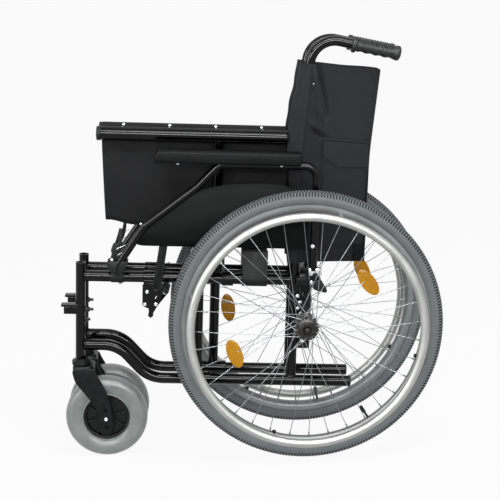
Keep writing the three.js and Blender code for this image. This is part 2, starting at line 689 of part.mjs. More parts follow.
function backOuter() {
  const foot = backBase();
  const along = (distance) => foot.clone().addScaledVector(backDirection, distance);
  const inner = spaceAround(cane.radius + back.loopSlack);
  const loops = [0, backHeight() - back.loop].map((start) =>
    rod(along(start), along(start + back.loop), inner + back.sleeveWall),
  );
  const space = rod(along(-fit.overrun), along(backHeight() + fit.overrun), inner);
  const hinge = point(0, 0, 0);
  const strip = backStrip(inner, back.outer - backFold.gap, back.thick, -back.tilt, hinge);
  const pocketPanel = backStrip(
    pocket.front,
    pocket.rear,
    pocket.thick,
    -back.tilt,
    point(0, (back.thick + pocket.thick) / 2 - fit.seat, 0),
    pocketTop - pocketLow,
    pocketLow - backLow,
  );
  return union(...loops, strip, pocketPanel).subtract(space);
}

function backInner() {
  const hinge = point(back.outer * Math.cos(back.tilt), -back.outer * Math.sin(back.tilt), 0);
  const turn = -back.tilt - backFold.turn;
  return backStrip(backFold.start, backFold.start + back.inner, back.innerThick, turn, hinge);
}

// Armrest
const armUpperLine = () => [
  point(arm.footU, arm.out, armKnee),
  point(armBends.lowU, arm.out, armLow),
  point(armBends.highU, arm.out, armHigh),
  point(armBends.underU, arm.out, arm.padUnder),
  point(armRearU, arm.out, arm.padUnder),
];

function armUpperSpace() {
  const corners = armUpperLine();
  const radii = corners.slice(1, -1).map(() => arm.bendRadius);
  return bentRod(corners, radii, arm.radius + fit.seat);
}

function armTube() {
  const corners = [
    point(arm.footU, arm.out, armFoot),
    ...armUpperLine(),
    point(armRearU, arm.out, armPivotW),
  ];
  const radii = corners.slice(1, -1).map(() => arm.bendRadius);
  radii[0] = arm.radius;
  const eye = rod(
    point(armPivot.atU, arm.out - armPivot.half, armPivotW),
    point(armPivot.atU, arm.out + armPivot.half, armPivotW),
    armPivot.eye,
  );
  const pinSpace = rod(
    point(armPivot.atU, arm.out - fit.overrun, armPivotW),
    point(armPivot.atU, arm.out + fit.overrun, armPivotW),
    spaceAround(armPivot.pin, sides.small),
    sides.small,
  );
  const keep = block(
    point(armRearU - fit.overrun, arm.out - fit.overrun, armPivotW - fit.overrun),
    point(armPivot.atU + fit.overrun, arm.out - armPivot.half, armPivotW + armPivot.neck),
  );
  const keepOuter = block(
    point(armRearU - fit.overrun, arm.out + armPivot.half, armPivotW - fit.overrun),
    point(armPivot.atU + fit.overrun, arm.out + fit.overrun, armPivotW + armPivot.neck),
  );
  const lugFrom = arm.out - arm.radius + fit.seat;
  const lug = slab(
    [
      [arm.footU, latchLeverW - latchLever.eye],
      [arm.footU + arm.radius, latchLeverW + latchLever.eye],
      [latchLeverU, latchLeverW + latchLever.eye],
      [latchLeverU - latchLever.eye, latchLeverW],
      [latchLeverU, latchLeverW - latchLever.eye],
    ],
    lugFrom,
    lugFrom + latchLever.lug,
  );
  const leverPin = rod(
    point(latchLeverU, lugFrom, latchLeverW),
    point(latchLeverU, lugFrom + latchLever.lug + latchLever.thick + fit.turning, latchLeverW),
    latchLever.pin,
    sides.small,
  );
  const tube = bentRod(corners, radii, arm.radius).subtract(union(keep, keepOuter));
  return union(tube, eye, lug, leverPin).subtract(pinSpace);
}

function armPad() {
  const low = arm.padUnder;
  const high = low + pad.thick;
  const outline = [
    [pad.front + pad.edge, low],
    [pad.rear, low],
    [pad.rear, high - pad.edge],
    [pad.rear - pad.edge, high],
    [pad.front + pad.nose, high],
    [pad.front, low + pad.edge],
  ];
  return slab(outline, arm.out - pad.half, arm.out + pad.half).subtract(armUpperSpace());
}

function skirtGuard() {
  const rear = armRearU - arm.radius - fit.seat;
  const outline = [
    [skirt.frontLow, skirtLow],
    [rear, skirtLow],
    [rear, skirtTop - skirt.rearCut - skirt.shoulder],
    [rear - skirt.rearCut, skirtTop],
    [skirt.frontHigh + skirt.shoulder, skirtTop],
    [skirt.frontHigh, skirtTop - skirt.shoulder],
  ];
  const half = skirt.thick / 2;
  return slab(outline, arm.out - half, arm.out + half).subtract(armUpperSpace());
}

function armSocket() {
  const cheekTo = arm.out - armPivot.half - fit.turning;
  const body = block(point(socketFront, socket.inner, socketLow), point(socketRear, cheekTo, socketTop));
  const cheek = block(
    point(armPivot.atU - armPivot.eye, socket.cheekFrom, socketTop - fit.seat),
    point(armPivot.atU + armPivot.eye, cheekTo, armPivotW + armPivot.eye),
  );
  const across = (u, w, from, to, radius) => rod(point(u, from, w), point(u, to, w), radius, sides.small);
  const pinEnd = arm.out + armPivot.half + fit.turning;
  const pinHoleFrom = cheekTo - 2 * socketLever.pin - fit.turning;
  return union(
    body.subtract(caneSpace(cane.radius + fit.seat)),
    cheek,
    across(armPivot.atU, armPivotW, socket.cheekFrom, pinEnd + armPivot.pinHeadThick, armPivot.pin),
    across(armPivot.atU, armPivotW, pinEnd, pinEnd + armPivot.pinHeadThick, armPivot.pinHead),
  ).subtract(
    across(socketLeverU, socketLeverW, pinHoleFrom, cheekTo + fit.overrun, socketLever.pin + fit.seat),
  );
}

function armSocketLever() {
  const from = arm.out - armPivot.half;
  const hubOutline = rod(
    point(socketLeverU, from, socketLeverW),
    point(socketLeverU, from + socketLever.thick, socketLeverW),
    socketLever.hubRadius,
  );
  const tipU = socketLeverU + socketLever.reachU;
  const tipW = socketLeverW - socketLever.dropW;
  const blade = slab(
    [
      [socketLeverU, socketLeverW + socketLever.half],
      [socketLeverU - socketLever.half, socketLeverW - socketLever.half],
      [tipU - socketLever.half, tipW - socketLever.half],
      [tipU, tipW + socketLever.half],
    ],
    from,
    from + socketLever.thick,
  );
  const pin = rod(
    point(socketLeverU, from - fit.turning - 2 * socketLever.pin, socketLeverW),
    point(socketLeverU, from + socketLever.thick, socketLeverW),
    socketLever.pin,
    sides.small,
  );
  return union(hubOutline, blade, pin);
}

function armLatch() {
  const clamp = rod(point(latchFront, 0, sideTube.upper), point(latchRear, 0, sideTube.upper), latch.clamp);
  const shelfTop = armFoot - fit.seat;
  const shelf = block(
    point(latchFront, 0, shelfTop - latch.shelf),
    point(latchRear, arm.out + latch.cupRadius, shelfTop),
  );
  const upright = (from, to, radius) =>
    rod(point(arm.footU, arm.out, from), point(arm.footU, arm.out, to), radius);
  const cup = upright(shelfTop - latch.shelf, latchCupTop, latch.cupRadius);
  const cupSpace = upright(shelfTop, latchCupTop + fit.overrun, arm.radius + 2 * fit.seat);
  const middle = (latchFront + latchRear) / 2;
  const screwLow = sideTube.upper - latch.clamp - latch.screwHeight;
  const screw = rod(point(middle, 0, screwLow), point(middle, 0, sideTube.upper), latch.screw, sides.small);
  const tubeSpace = rod(
    point(latchFront - fit.overrun, 0, sideTube.upper),
    point(latchRear + fit.overrun, 0, sideTube.upper),
    sideTube.radius + fit.seat,
  );
  return union(clamp, shelf, cup, screw).subtract(union(cupSpace, tubeSpace));
}

function armLatchLever() {
  const from = arm.out - arm.radius + latchLever.lug + 2 * fit.seat;
  const blade = new THREE.Vector2(latchTopU - latchLeverU, latchTopW - latchLeverW).normalize();
  const outline = [
    [latchLeverU - latchLever.half * blade.y, latchLeverW + latchLever.half * blade.x],
    [latchLeverU + latchLever.half * blade.y, latchLeverW - latchLever.half * blade.x],
    [latchTopU + latchLever.half * blade.y, latchTopW - latchLever.half * blade.x],
    [latchTopU - latchLever.half * blade.y, latchTopW + latchLever.half * blade.x],
  ];
  const across = (radius, low, high) =>
    rod(point(latchLeverU, low, latchLeverW), point(latchLeverU, high, latchLeverW), radius, sides.small);
  const to = from + latchLever.thick;
  const pinSpace = across(latchLever.pin + fit.seat, from - fit.overrun, from + fit.overrun);
  return union(slab(outline, from, to), across(latchLever.eye, from, to)).subtract(pinSpace);
}

// Brake
const brakeInner = sideTube.radius + fit.seat;

function brakePlate() {
  const width = brakeRear - brake.front;
  const height = brakeTop - brakeLow;
  const inShares = ([across, up]) => [brake.front + across * width, brakeLow + up * height];
  const outer = brakeInner + brake.thick;
  const plate = slab(brakeShares.map(inShares), brakeInner, outer);
  const upright = block(
    point(brakeClampFrom, brakeInner, brakeLow + height / 2),
    point(brakeClampTo, outer, sideTube.upper),
  );
  const along = (from, to, radius) =>
    rod(point(from, 0, sideTube.upper), point(to, 0, sideTube.upper), radius);
  const across = (u, w, from, to, radius) => rod(point(u, from, w), point(u, to, w), radius, sides.small);
  const clearOfLever = lever.half + brakeBolt.radius + fit.turning;
  const bolts = brakeBoltShares
    .map(inShares)
    .filter(([u, w]) => Math.hypot(u - brakePivotU, w - brakePivotW) > clearOfLever)
    .map(([u, w]) => across(u, w, outer - fit.seat, outer + brakeBolt.height, brakeBolt.radius));
  const pinEnd = outer + 2 * fit.turning + lever.thick;
  return union(
    plate,
    upright,
    along(brakeClampFrom, brakeClampTo, brake.clamp),
    across(brakePivotU, brakePivotW, brakeInner, pinEnd + brakePivot.headThick, brakePivot.pin),
    across(brakePivotU, brakePivotW, pinEnd, pinEnd + brakePivot.headThick, brakePivot.head),
    ...bolts,
  ).subtract(along(brakeClampFrom - fit.overrun, brakeClampTo + fit.overrun, brakeInner));
}

function brakeLever() {
  const from = brakeInner + brake.thick + fit.turning;
  const to = from + lever.thick;
  const along = new THREE.Vector2(leverTopU - brakePivotU, leverTop - brakePivotW).normalize();
  const outline = [
    [brakePivotU - lever.half * along.y, brakePivotW + lever.half * along.x],
    [brakePivotU + lever.half * along.y, brakePivotW - lever.half * along.x],
    [leverTopU + lever.half * along.y, leverTop - lever.half * along.x],
    [leverTopU - lever.half * along.y, leverTop + lever.half * along.x],
  ];
  const toShoe = new THREE.Vector2(shoeU - brakePivotU, shoeW - brakePivotW).normalize();
  const shoeArm = [
    [brakePivotU - shoe.radius * toShoe.y, brakePivotW + shoe.radius * toShoe.x],
    [brakePivotU + shoe.radius * toShoe.y, brakePivotW - shoe.radius * toShoe.x],
    [shoeU + shoe.radius * toShoe.y, shoeW - shoe.radius * toShoe.x],
    [shoeU - shoe.radius * toShoe.y, shoeW + shoe.radius * toShoe.x],
  ];
  const across = (u, w, low, high, radius) => rod(point(u, low, w), point(u, high, w), radius);
  const pinSpace = brakePivot.pin + fit.seat;
  return union(
    slab(outline, from, to),
    slab(shoeArm, from, to),
    across(brakePivotU, brakePivotW, from, to, lever.half),
    across(leverTopU, leverTop, from, to, lever.half),
    across(shoeU, shoeW, from, shoe.out, shoe.radius),
  ).subtract(across(brakePivotU, brakePivotW, from - fit.overrun, to + fit.overrun, pinSpace));
}

// Assembly of one side: its tilted frame, its wheels and its caster
function sideGroup(name, sign) {
  const group = new THREE.Group();
  const tilted = new THREE.Group();
  tilted.rotation.y = frame.lean;
  const isLeft = sign < 0;
  const turn = isLeft ? 0 : rightWheelTurn;
  const heldBarU = isLeft ? bar.rightU : bar.leftU;
  const label = (piece) => `${name}_${piece}`;
  tilted.add(
    meshOf(label("front_post"), frontPost(), materials.paint()),
    meshOf(label("upper_tube"), upperTube(), materials.paint()),
    meshOf(label("lower_tube"), lowerTube(), materials.paint()),
    meshOf(label("back_cane"), backCane(), materials.paint()),
    meshOf(label("push_grip"), pushGrip(), materials.grip()),
    meshOf(label("axle_plate"), axlePlateWithAxle(), materials.steel()),
    meshOf(label("seat_rail"), seatRail(), materials.paint()),
    meshOf(label("side_link"), sideLink(heldBarU, isLeft ? 1 : -1), materials.paint()),
    meshOf(label("seat_cradle"), seatCradle(), materials.plastic()),
    meshOf(label("seat_half"), seatHalf(heldBarU), materials.fabric()),
    meshOf(label("back_outer"), backOuter(), materials.fabric()),
    meshOf(label("back_inner"), backInner(), materials.fabric()),
    meshOf(label("arm_tube"), armTube(), materials.paint()),
    meshOf(label("arm_pad"), armPad(), materials.pad()),
    meshOf(label("skirt_guard"), skirtGuard(), materials.plastic()),
    meshOf(label("arm_socket"), armSocket(), materials.steel()),
    meshOf(label("arm_socket_lever"), armSocketLever(), materials.plastic()),
    meshOf(label("arm_latch"), armLatch(), materials.plastic()),
    meshOf(label("arm_latch_lever"), armLatchLever(), materials.plastic()),
    meshOf(label("brake_plate"), brakePlate(), materials.paint()),
    meshOf(label("brake_lever"), brakeLever(), materials.paint()),
  );
  const rearWheel = new THREE.Group();
  rearWheel.position.set(wheel.centreX, wheel.out, wheelZ);
  rearWheel.add(
    meshOf(label("wheel_hub"), wheelHub(turn), materials.steel()),
    meshOf(label("wheel_rim"), wheelRim(), materials.steel()),
    meshOf(label("wheel_tyre"), wheelTyre(), materials.tyre()),
    meshOf(label("handrim"), wheelHandrim(turn), materials.steel()),
    meshOf(label("axle_button"), axleButton(), materials.steel()),
  );
  const casterWheels = new THREE.Group();
  casterWheels.position.set(caster.centreX, 0, casterZ);
  casterWheels.add(
    meshOf(label("caster_wheel"), casterWheel(), materials.plastic()),
    meshOf(label("caster_tyre"), casterTyre(), materials.casterTyre()),
  );
  group.add(tilted, rearWheel, casterWheels, meshOf(label("caster_fork"), casterFork(), materials.paint()));
  group.position.set(-middleX, sign * frame.half, 0);
  group.scale.y = sign;
  return group;
}

const wheelchair = new THREE.Group();
const crossBrace = new THREE.Group();
crossBrace.rotation.y = frame.lean;
crossBrace.position.x = -middleX;
crossBrace.add(
  meshOf("cross_bar_a", leftFootedBar(), materials.paint()),
  meshOf("cross_bar_b", rightFootedBar(), materials.paint()),
);
wheelchair.add(sideGroup("left", -1), sideGroup("right", 1), crossBrace);

export default wheelchair;
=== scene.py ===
import math
from types import SimpleNamespace as Sizes

import bmesh
import bpy
from mathutils import Matrix, Vector


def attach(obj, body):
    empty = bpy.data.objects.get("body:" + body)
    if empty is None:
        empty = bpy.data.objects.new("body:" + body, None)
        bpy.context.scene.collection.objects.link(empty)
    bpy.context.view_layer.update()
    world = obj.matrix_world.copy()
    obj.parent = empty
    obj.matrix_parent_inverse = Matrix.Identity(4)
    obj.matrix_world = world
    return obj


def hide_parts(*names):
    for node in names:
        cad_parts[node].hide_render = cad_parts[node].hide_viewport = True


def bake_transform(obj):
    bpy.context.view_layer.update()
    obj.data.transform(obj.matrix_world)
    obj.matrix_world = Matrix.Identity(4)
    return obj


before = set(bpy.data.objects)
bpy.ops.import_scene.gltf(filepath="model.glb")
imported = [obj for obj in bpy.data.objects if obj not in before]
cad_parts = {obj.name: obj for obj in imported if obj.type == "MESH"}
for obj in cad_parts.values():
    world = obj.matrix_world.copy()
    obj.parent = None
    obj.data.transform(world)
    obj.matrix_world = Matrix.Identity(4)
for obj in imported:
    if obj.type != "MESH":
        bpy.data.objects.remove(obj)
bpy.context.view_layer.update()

# Sizes of the chair in millimetres, as its drawing gives them.
# The frame leans back, so its tubes are drawn along u, out from the frame plane and up w.
MM = 0.001
LEAN = math.radians(3.7)
HALF = 43.0
MIDDLE_X = 25.0406
SIDES = (("left", -1), ("right", 1))
GAP = 0.3

# Side frames
post = Sizes(u=-374, low=208, top=429.5, radius=11, wall=2)
post_screws = Sizes(heights=(321, 298), shank=3.2, shank_to=22, head=5.5, head_to=14, start=9)
hook = Sizes(reach=26, half=8, low=311, top=328, flange_reach=32, flange_half=10, flange=6)
side_tube = Sizes(radius=12.5, wall=1.8, upper=398.5, front=239, lower=163, rear=241)
s_bend = Sizes(front_u=-290, rear_u=-219, radius=75)
tube_holes = Sizes(w=161, outer=(84.5, 111.5, 136.5), inner=(117, 190), radius=2.6)
cane = Sizes(u=104, radius=11, lean_from=690, lean_by=20.3, handle=940.9, knee=120, bend=54)
grip = Sizes(behind=86, droop=math.radians(10), length=108, radius=14.8, end=6)

# Rear wheels
wheel = Sizes(x=147.25, z=303.531, out=76, radius=303.5, tyre_half=18, seat=277)
tyre = Sizes(centre=285.2, steps=560, edge=-66, ring=11, rings=13, deep=1.6, shallow=1.0, rings_in_block=3)
rim = Sizes(inner=255, shoulder=263, half=13, lip=3, channel=270)
hub = Sizes(radius=14, flange=25, flange_at=23, flange_thick=3, inner=30, cap=17.6, cap_from=28, outer=36)
spoke = Sizes(count=18, radius=0.8, hole_radius=21, sweep=math.radians(60), spread=2, crossing=1.4)
reflector = Sizes(centre=168, long=34, short=16.5, out=10, places=(198.3, 34.8))
handrim = Sizes(out=50, radius=254.5, tube=9.4, tab=3.5, tab_circle=260, first=72, tabs=4)
# How far each wheel is turned, in degrees
turns = {"left": 0.0, "right": -12.7}
valve = Sizes(angles={"left": -58.5, "right": -81}, stem=2.6, stem_to=24, cap=3.9, cap_from=14, cap_to=31)
button = Sizes(radius=8, rest=35.6, proud=7, stem=2.7, stem_length=14)

# Casters
caster = Sizes(
    x=-308, z=92.7, radius=92.7, half=22, bulge=24.4, middle=66, seat=52, bore=4.3, boss=16, boss_half=20,
    web=5, ribs=8, rib_half=1.6, rib_out=14,
)
fork = Sizes(
    blade=5.2, gap=3.3, crown_gap=7, crown_top=217.5, crown_front=-377.2, crown_rear=-329.2, crown_half=24,
    corner=15, stem=7, hole=4.0, hole_step=20, axle=3.9,
)

# Cross brace and seat
fold = Sizes(low=163, rail=718, arm_share=0.93)
bar = Sizes(radius=11, left_u=-110, right_u=-73, sleeve=16.5, sleeve_half=30, nut=8, nut_thick=6)
rail = Sizes(front=-341, rear=83, radius=14, cap=15.6, cap_length=10, core=11)
seat = Sizes(front=-331, rear=78, wrap=16, thick=1.6, wrap_from=math.radians(55), wrap_turn=math.radians(125))
seat_drop = Sizes(length=226, hem=520, front_lower=10, rear_lower=25, belly=5, curl=7, sway=8.5)
seat_screws = Sizes(places=(-285.4, -182.6, -79.8, 23), tilt=math.radians(42), radius=3.3, height=1.7)

# Back
back = Sizes(
    low=440, top=880, loop=13.2, outer=162, inner=82, tilt=math.radians(8), turn=math.radians(160.8),
    turn_long=30, turn_deep=8.5, bend=3,
)
# The cane's lean begins over this length, and the sleeve's cloth leaves the round at this angle
cane_spread = 100
sleeve_leave = math.radians(74)
sleeve_leave_arc = 2 * (math.pi - sleeve_leave)
# The sleeve's cloth comes from the panel on its inner side, goes round the cane between two shares of
# its width, and goes back to the panel. A line across it a little before its low and high points is
# worked out, but not used
sleeve = Sizes(
    round_from=0.3, round_to=0.7, width=130, thick=1.3, low=(103.14, 0, 440), high=(117.35, 0, 855),
    before=20, after=12,
)
panel = Sizes(thick=1.4, overlap=7, hem=8)
fold_band = Sizes(outer=23.2, inner=17.4, high=600)
pocket = Sizes(left=52, right=149, low=40, high=283, thick=1.2, proud=1.6)
flap = Sizes(overlap=1, low=216, point=27, high=284, seam=276, thick=1.3)
back_stud = Sizes(behind=12, out=12.6, high=399, radius=1.5, height=1.2)

# Armrests, latches and brakes
arm = Sizes(out=39, radius=8.8, foot_u=-290, foot=411.5, knee=432, under=662, rear_u=141)
pad = Sizes(front=-216, rear=106, half=23, thick=31, nose=10, edge=5.5, crown=2.2)
skirt = Sizes(thick=3)
pad_screws = (-161, 62)
guard_screws = ((137.5, 486), (137.5, 560))
plate_nuts = ((110.5, 366), (116.5, 352), (112, 338), (119, 326))
socket_nut = (138.5, 403.5)
pivot_block = Sizes(front=131, rear=160.5, low=419, high=436.5)
latch_clamp = Sizes(inner=6, outer=47.5, front=-306, rear=-277, radius=13.9, wall=1.2)
latch_blade = Sizes(inner=35.6, outer=41.2, pivot_u=-304, pivot=441, pivot_radius=7.5)
brake_clamp = Sizes(front=-234, rear=-208, radius=14.4, wall=1.7, plate=4)
brake_spacer = Sizes(u=-205, w=369, height=7.4, radius=6.4)

RAIL_OUT = HALF * fold.arm_share - HALF
CROSSING = fold.low + (fold.rail - fold.low) / (1 + fold.arm_share)
STEM_REACH = 13.5
STEM_X = post.u * math.cos(LEAN) + (post.low + STEM_REACH) * math.sin(LEAN)
CANE_SLOPE = cane.lean_by / (cane.handle - cane.lean_from)
CANE_CORNER = Vector((cane.u + cane.lean_by, 0, cane.handle))
GRIP_AXIS = Vector((math.cos(grip.droop), 0, -math.sin(grip.droop)))
GRIP_START = CANE_CORNER + GRIP_AXIS * grip.behind
BLADE_IN = caster.half + fork.gap
BLADE_OUT = BLADE_IN + fork.blade
OUTWARD = Vector((0, 1, 0))
REARWARD = Vector((1, 0, 0))
# About halfway between the two crossed bars, where the seat's cloth hangs flat
BRACE_U = -91


def chair_frame(sign, half=HALF):
    """From u, out and w of one side, in millimetres, to the row frame in metres."""
    c, s = math.cos(LEAN), math.sin(LEAN)
    return Matrix((
        (c * MM, 0, s * MM, -MIDDLE_X * MM),
        (0, sign * MM, 0, sign * half * MM),
        (-s * MM, 0, c * MM, 0),
        (0, 0, 0, 1),
    ))


def upright_frame(sign, x=0.0, out=0.0, z=0.0):
    """From x, out and z of one side, which don't lean, to the row frame in metres."""
    return Matrix((
        (MM, 0, 0, (x - MIDDLE_X) * MM),
        (0, sign * MM, 0, sign * (HALF + out) * MM),
        (0, 0, MM, z * MM),
        (0, 0, 0, 1),
    ))


# Materials


def colour(code):
    """An sRGB hex value as linear RGBA."""
    channels = [int(code[i : i + 2], 16) / 255 for i in (1, 3, 5)]
    return (*[c / 12.92 if c <= 0.04045 else ((c + 0.055) / 1.055) ** 2.4 for c in channels], 1)


def add(tree, kind, inputs=None, **settings):
    """Adds one node with its settings, and links or sets its inputs."""
    made = tree.nodes.new("ShaderNode" + kind)
    for key, value in settings.items():
        setattr(made, key, value)
    for key, value in (inputs or {}).items():
        if isinstance(value, bpy.types.NodeSocket):
            tree.links.new(value, made.inputs[key])
        else:
            made.inputs[key].default_value = value
    return made


def start(name, **values):
    """A material with its shader set, its tree and its object coordinates in metres."""
    made = bpy.data.materials.new(name)
    made.use_nodes = True
    tree = made.node_tree
    shader = tree.nodes["Principled BSDF"]
    for key, value in values.items():
        shader.inputs[key.replace("_", " ")].default_value = value
    return made, tree, shader, add(tree, "TexCoord").outputs["Object"]


def speckle(tree, place, size, detail=3.0, stretch=(1, 1, 1)):
    """Soft noise whose grains are size metres across."""
    mapped = add(tree, "Mapping", {"Vector": place, "Scale": stretch}).outputs["Vector"]
    return add(tree, "TexNoise", {"Vector": mapped, "Scale": 1 / size, "Detail": detail}).outputs["Fac"]


def between(tree, share, low, high):
    """A number that goes from low to high as the pattern goes from dark to light."""
    settings = {"Value": share, "From Min": 0.3, "From Max": 0.7, "To Min": low, "To Max": high}
    return add(tree, "MapRange", settings).outputs["Result"]


def shades(tree, share, dark, light, deepest=None):
    """A colour between two as the pattern goes from dark to light, with a third one below them."""
    ramp = add(tree, "ValToRGB", {"Fac": share})
    stops = ramp.color_ramp.elements
    stops[0].position = 0.3
    stops[1].position = 0.7
    stops[0].color = colour(dark)
    stops[1].color = colour(light)
    if deepest:
        stops.new(0.05).color = colour(deepest)
    return ramp.outputs["Color"]


def surface(tree, shader, **sockets):
    """Links the patterns of a material to its shader."""
    for key, value in sockets.items():
        tree.links.new(value, shader.inputs[key.replace("_", " ")])


def bumps(tree, shader, height, depth, strength=1.0):
    """Raises a pattern from the surface by a depth in metres."""
    made = add(tree, "Bump", {"Height": height, "Distance": depth, "Strength": strength})
    tree.links.new(made.outputs["Normal"], shader.inputs["Normal"])


def powder_coat():
    # Gloss black powder coat on steel tube: deep black, sharp highlights, a faint orange peel
    made, tree, shader, place = start("Powder-coated steel", IOR=1.45, Specular_IOR_Level=0.24)
    peel = speckle(tree, place, 0.0028, 2)
    worn = speckle(tree, place, 0.045, 4)
    surface(
        tree, shader,
        Base_Color=shades(tree, worn, "#030304", "#070708"),
        Roughness=between(tree, worn, 0.1, 0.16),
    )
    bumps(tree, shader, peel, 0.00012, 0.35)
    return made


def coated_plate():
    # The same coat on stamped plate: a little duller, and rubbed grey on its faces
    made, tree, shader, place = start("Powder-coated plate", IOR=1.45, Specular_IOR_Level=0.2)
    worn = speckle(tree, place, 0.012, 5)
    surface(
        tree, shader,
        Base_Color=shades(tree, worn, "#0a0b0d", "#151719"),
        Roughness=between(tree, worn, 0.28, 0.45),
    )
    bumps(tree, shader, speckle(tree, place, 0.0015, 2), 0.0001, 0.4)
    return made


def moulded_nylon():
    # Glass-filled nylon, moulded: charcoal black with a fine grain, half matte
    made, tree, shader, place = start("Moulded nylon", IOR=1.5, Specular_IOR_Level=0.2)
    grain = add(tree, "TexVoronoi", {"Vector": place, "Scale": 1 / 0.0011}).outputs["Distance"]
    mottle = speckle(tree, place, 0.02, 4)
    surface(
        tree, shader,
        Base_Color=shades(tree, mottle, "#0d0f10", "#161819"),
        Roughness=between(tree, mottle, 0.42, 0.58),
    )
    bumps(tree, shader, grain, 0.00012, 0.5)
    return made


def skirt_sheet():
    # Polypropylene sheet: nearly black with a green-grey cast, satin, lightly scuffed along its length
    made, tree, shader, place = start("Polypropylene sheet", IOR=1.49, Specular_IOR_Level=0.06)
    scuffs = speckle(tree, place, 0.05, 6, (0.4, 1, 3))
    surface(
        tree, shader,
        Base_Color=shades(tree, scuffs, "#070a0a", "#0c0f0f"),
        Roughness=between(tree, scuffs, 0.4, 0.56),
    )
    bumps(tree, shader, speckle(tree, place, 0.0012, 3), 0.0001, 0.4)
    return made


def brushed_alloy(name, dark, light, low, high):
    # Aluminium extrusion, rolled and anodised clear: pale silver with fine lines along its turning
    made, tree, shader, place = start(name, Metallic=0.7)
    lines = speckle(tree, place, 0.0009, 2, (0.25, 4, 0.25))
    cloud = speckle(tree, place, 0.06, 3)
    surface(
        tree, shader,
        Base_Color=shades(tree, cloud, dark, light),
        Roughness=between(tree, cloud, low, high),
    )
    bumps(tree, shader, lines, 0.00004, 0.5)
    return made


def plated_steel():
    # Zinc-plated steel: bluish silver, clouded, with the odd dull patch
    made, tree, shader, place = start("Zinc-plated steel", Metallic=1.0)
    cloud = speckle(tree, place, 0.006, 4)
    surface(
        tree, shader,
        Base_Color=shades(tree, cloud, "#b4b7ba", "#e8eaec"),
        Roughness=between(tree, cloud, 0.22, 0.36),
    )
    bumps(tree, shader, speckle(tree, place, 0.0016, 2), 0.00006, 0.4)
    return made


def drawn_steel():
    # Stainless spoke wire: bright silver, drawn along its length
    made, tree, shader, place = start("Stainless wire", Metallic=1.0)
    cloud = speckle(tree, place, 0.02, 3)
    surface(
        tree, shader,
        Base_Color=shades(tree, cloud, "#6b6e70", "#828587"),
        Roughness=between(tree, cloud, 0.28, 0.4),
    )
    return made


def tyre_rubber():
    # Grey non-marking rubber: matte blue-grey, a little chalky. The sunk blocks of its tread are
    # painted near black as painted shade. The blocks are drawn longer than real ones, so that they show
    made, tree, shader, place = start("Non-marking rubber", IOR=1.5, Specular_IOR_Level=0.3)
    dust = speckle(tree, place, 0.03, 3)
    blocks = add(tree, "TexCoord").outputs["UV"]
    sunk_block_shade = add(tree, "TexChecker", {"Vector": blocks, "Scale": 1.0}).outputs["Fac"]
    # Painted shade: the sunk blocks are darkened to near black, on top of the dust's random tone
    dust_and_sunk_block_shade = add(tree, "Math", {0: sunk_block_shade, 1: -0.6, 2: dust}, operation="MULTIPLY_ADD").outputs["Value"]
    surface(
        tree, shader,
        Base_Color=shades(tree, dust_and_sunk_block_shade, "#808689", "#898f91", "#14171a"),
        Roughness=between(tree, dust, 0.62, 0.8),
    )
    bumps(tree, shader, speckle(tree, place, 0.0016, 3), 0.00025, 0.5)
    return made


def caster_polyurethane():
    # Cast polyurethane: light grey, satin, with soft clouding
    made, tree, shader, place = start("Cast polyurethane", IOR=1.5)
    cloud = speckle(tree, place, 0.03, 4)
    surface(
        tree, shader,
        Base_Color=shades(tree, cloud, "#949a99", "#a9aead"),
        Roughness=between(tree, cloud, 0.3, 0.44),
    )
    bumps(tree, shader, speckle(tree, place, 0.004, 3), 0.00015, 0.4)
    return made


def amber_lens():
    # Amber acrylic over moulded prisms: saturated orange-yellow, clear gloss, small facets behind, each
    # painted lighter in its middle as painted sparkle
    made, tree, shader, place = start(
        "Amber acrylic", IOR=1.49, Coat_Weight=0.1, Coat_Roughness=0.05, Specular_IOR_Level=0.25
    )
    prism_facets_and_sparkle = add(tree, "TexVoronoi", {"Vector": place, "Scale": 1 / 0.0036})
    # Painted sparkle: the amber is lighter in the middle of each facet than at its edges
    surface(
        tree, shader,
        Base_Color=shades(tree, prism_facets_and_sparkle.outputs["Distance"], "#f0ac00", "#e09608"),
        Roughness=between(tree, prism_facets_and_sparkle.outputs["Distance"], 0.16, 0.32),
    )
    bumps(tree, shader, prism_facets_and_sparkle.outputs["Distance"], 0.0003, 0.6)
    return made


def grip_rubber():
    # Ribbed hand grip in soft PVC: black, slightly greasy sheen, fine grain
    made, tree, shader, place = start("Soft PVC", IOR=1.5, Specular_IOR_Level=0.35)
    wear = speckle(tree, place, 0.014, 4)
    surface(
        tree, shader,
        Base_Color=shades(tree, wear, "#0d0e0f", "#17191a"),
        Roughness=between(tree, wear, 0.4, 0.6),
    )
    bumps(tree, shader, speckle(tree, place, 0.0009, 2), 0.00015, 0.5)
    return made


def pad_skin():
    # Integral-skin polyurethane foam: black, soft gloss, pebbled grain about 2 mm across
    made, tree, shader, place = start("Integral-skin foam", IOR=1.5, Specular_IOR_Level=0.08)
    pebbles = add(tree, "TexVoronoi", {"Vector": place, "Scale": 1 / 0.0022}, feature="SMOOTH_F1")
    wear = speckle(tree, place, 0.03, 4)
    surface(
        tree, shader,
        Base_Color=shades(tree, wear, "#0b0c0d", "#121315"),
        Roughness=between(tree, wear, 0.38, 0.5),
    )
    bumps(tree, shader, pebbles.outputs["Distance"], 0.0002, 0.6)
    return made


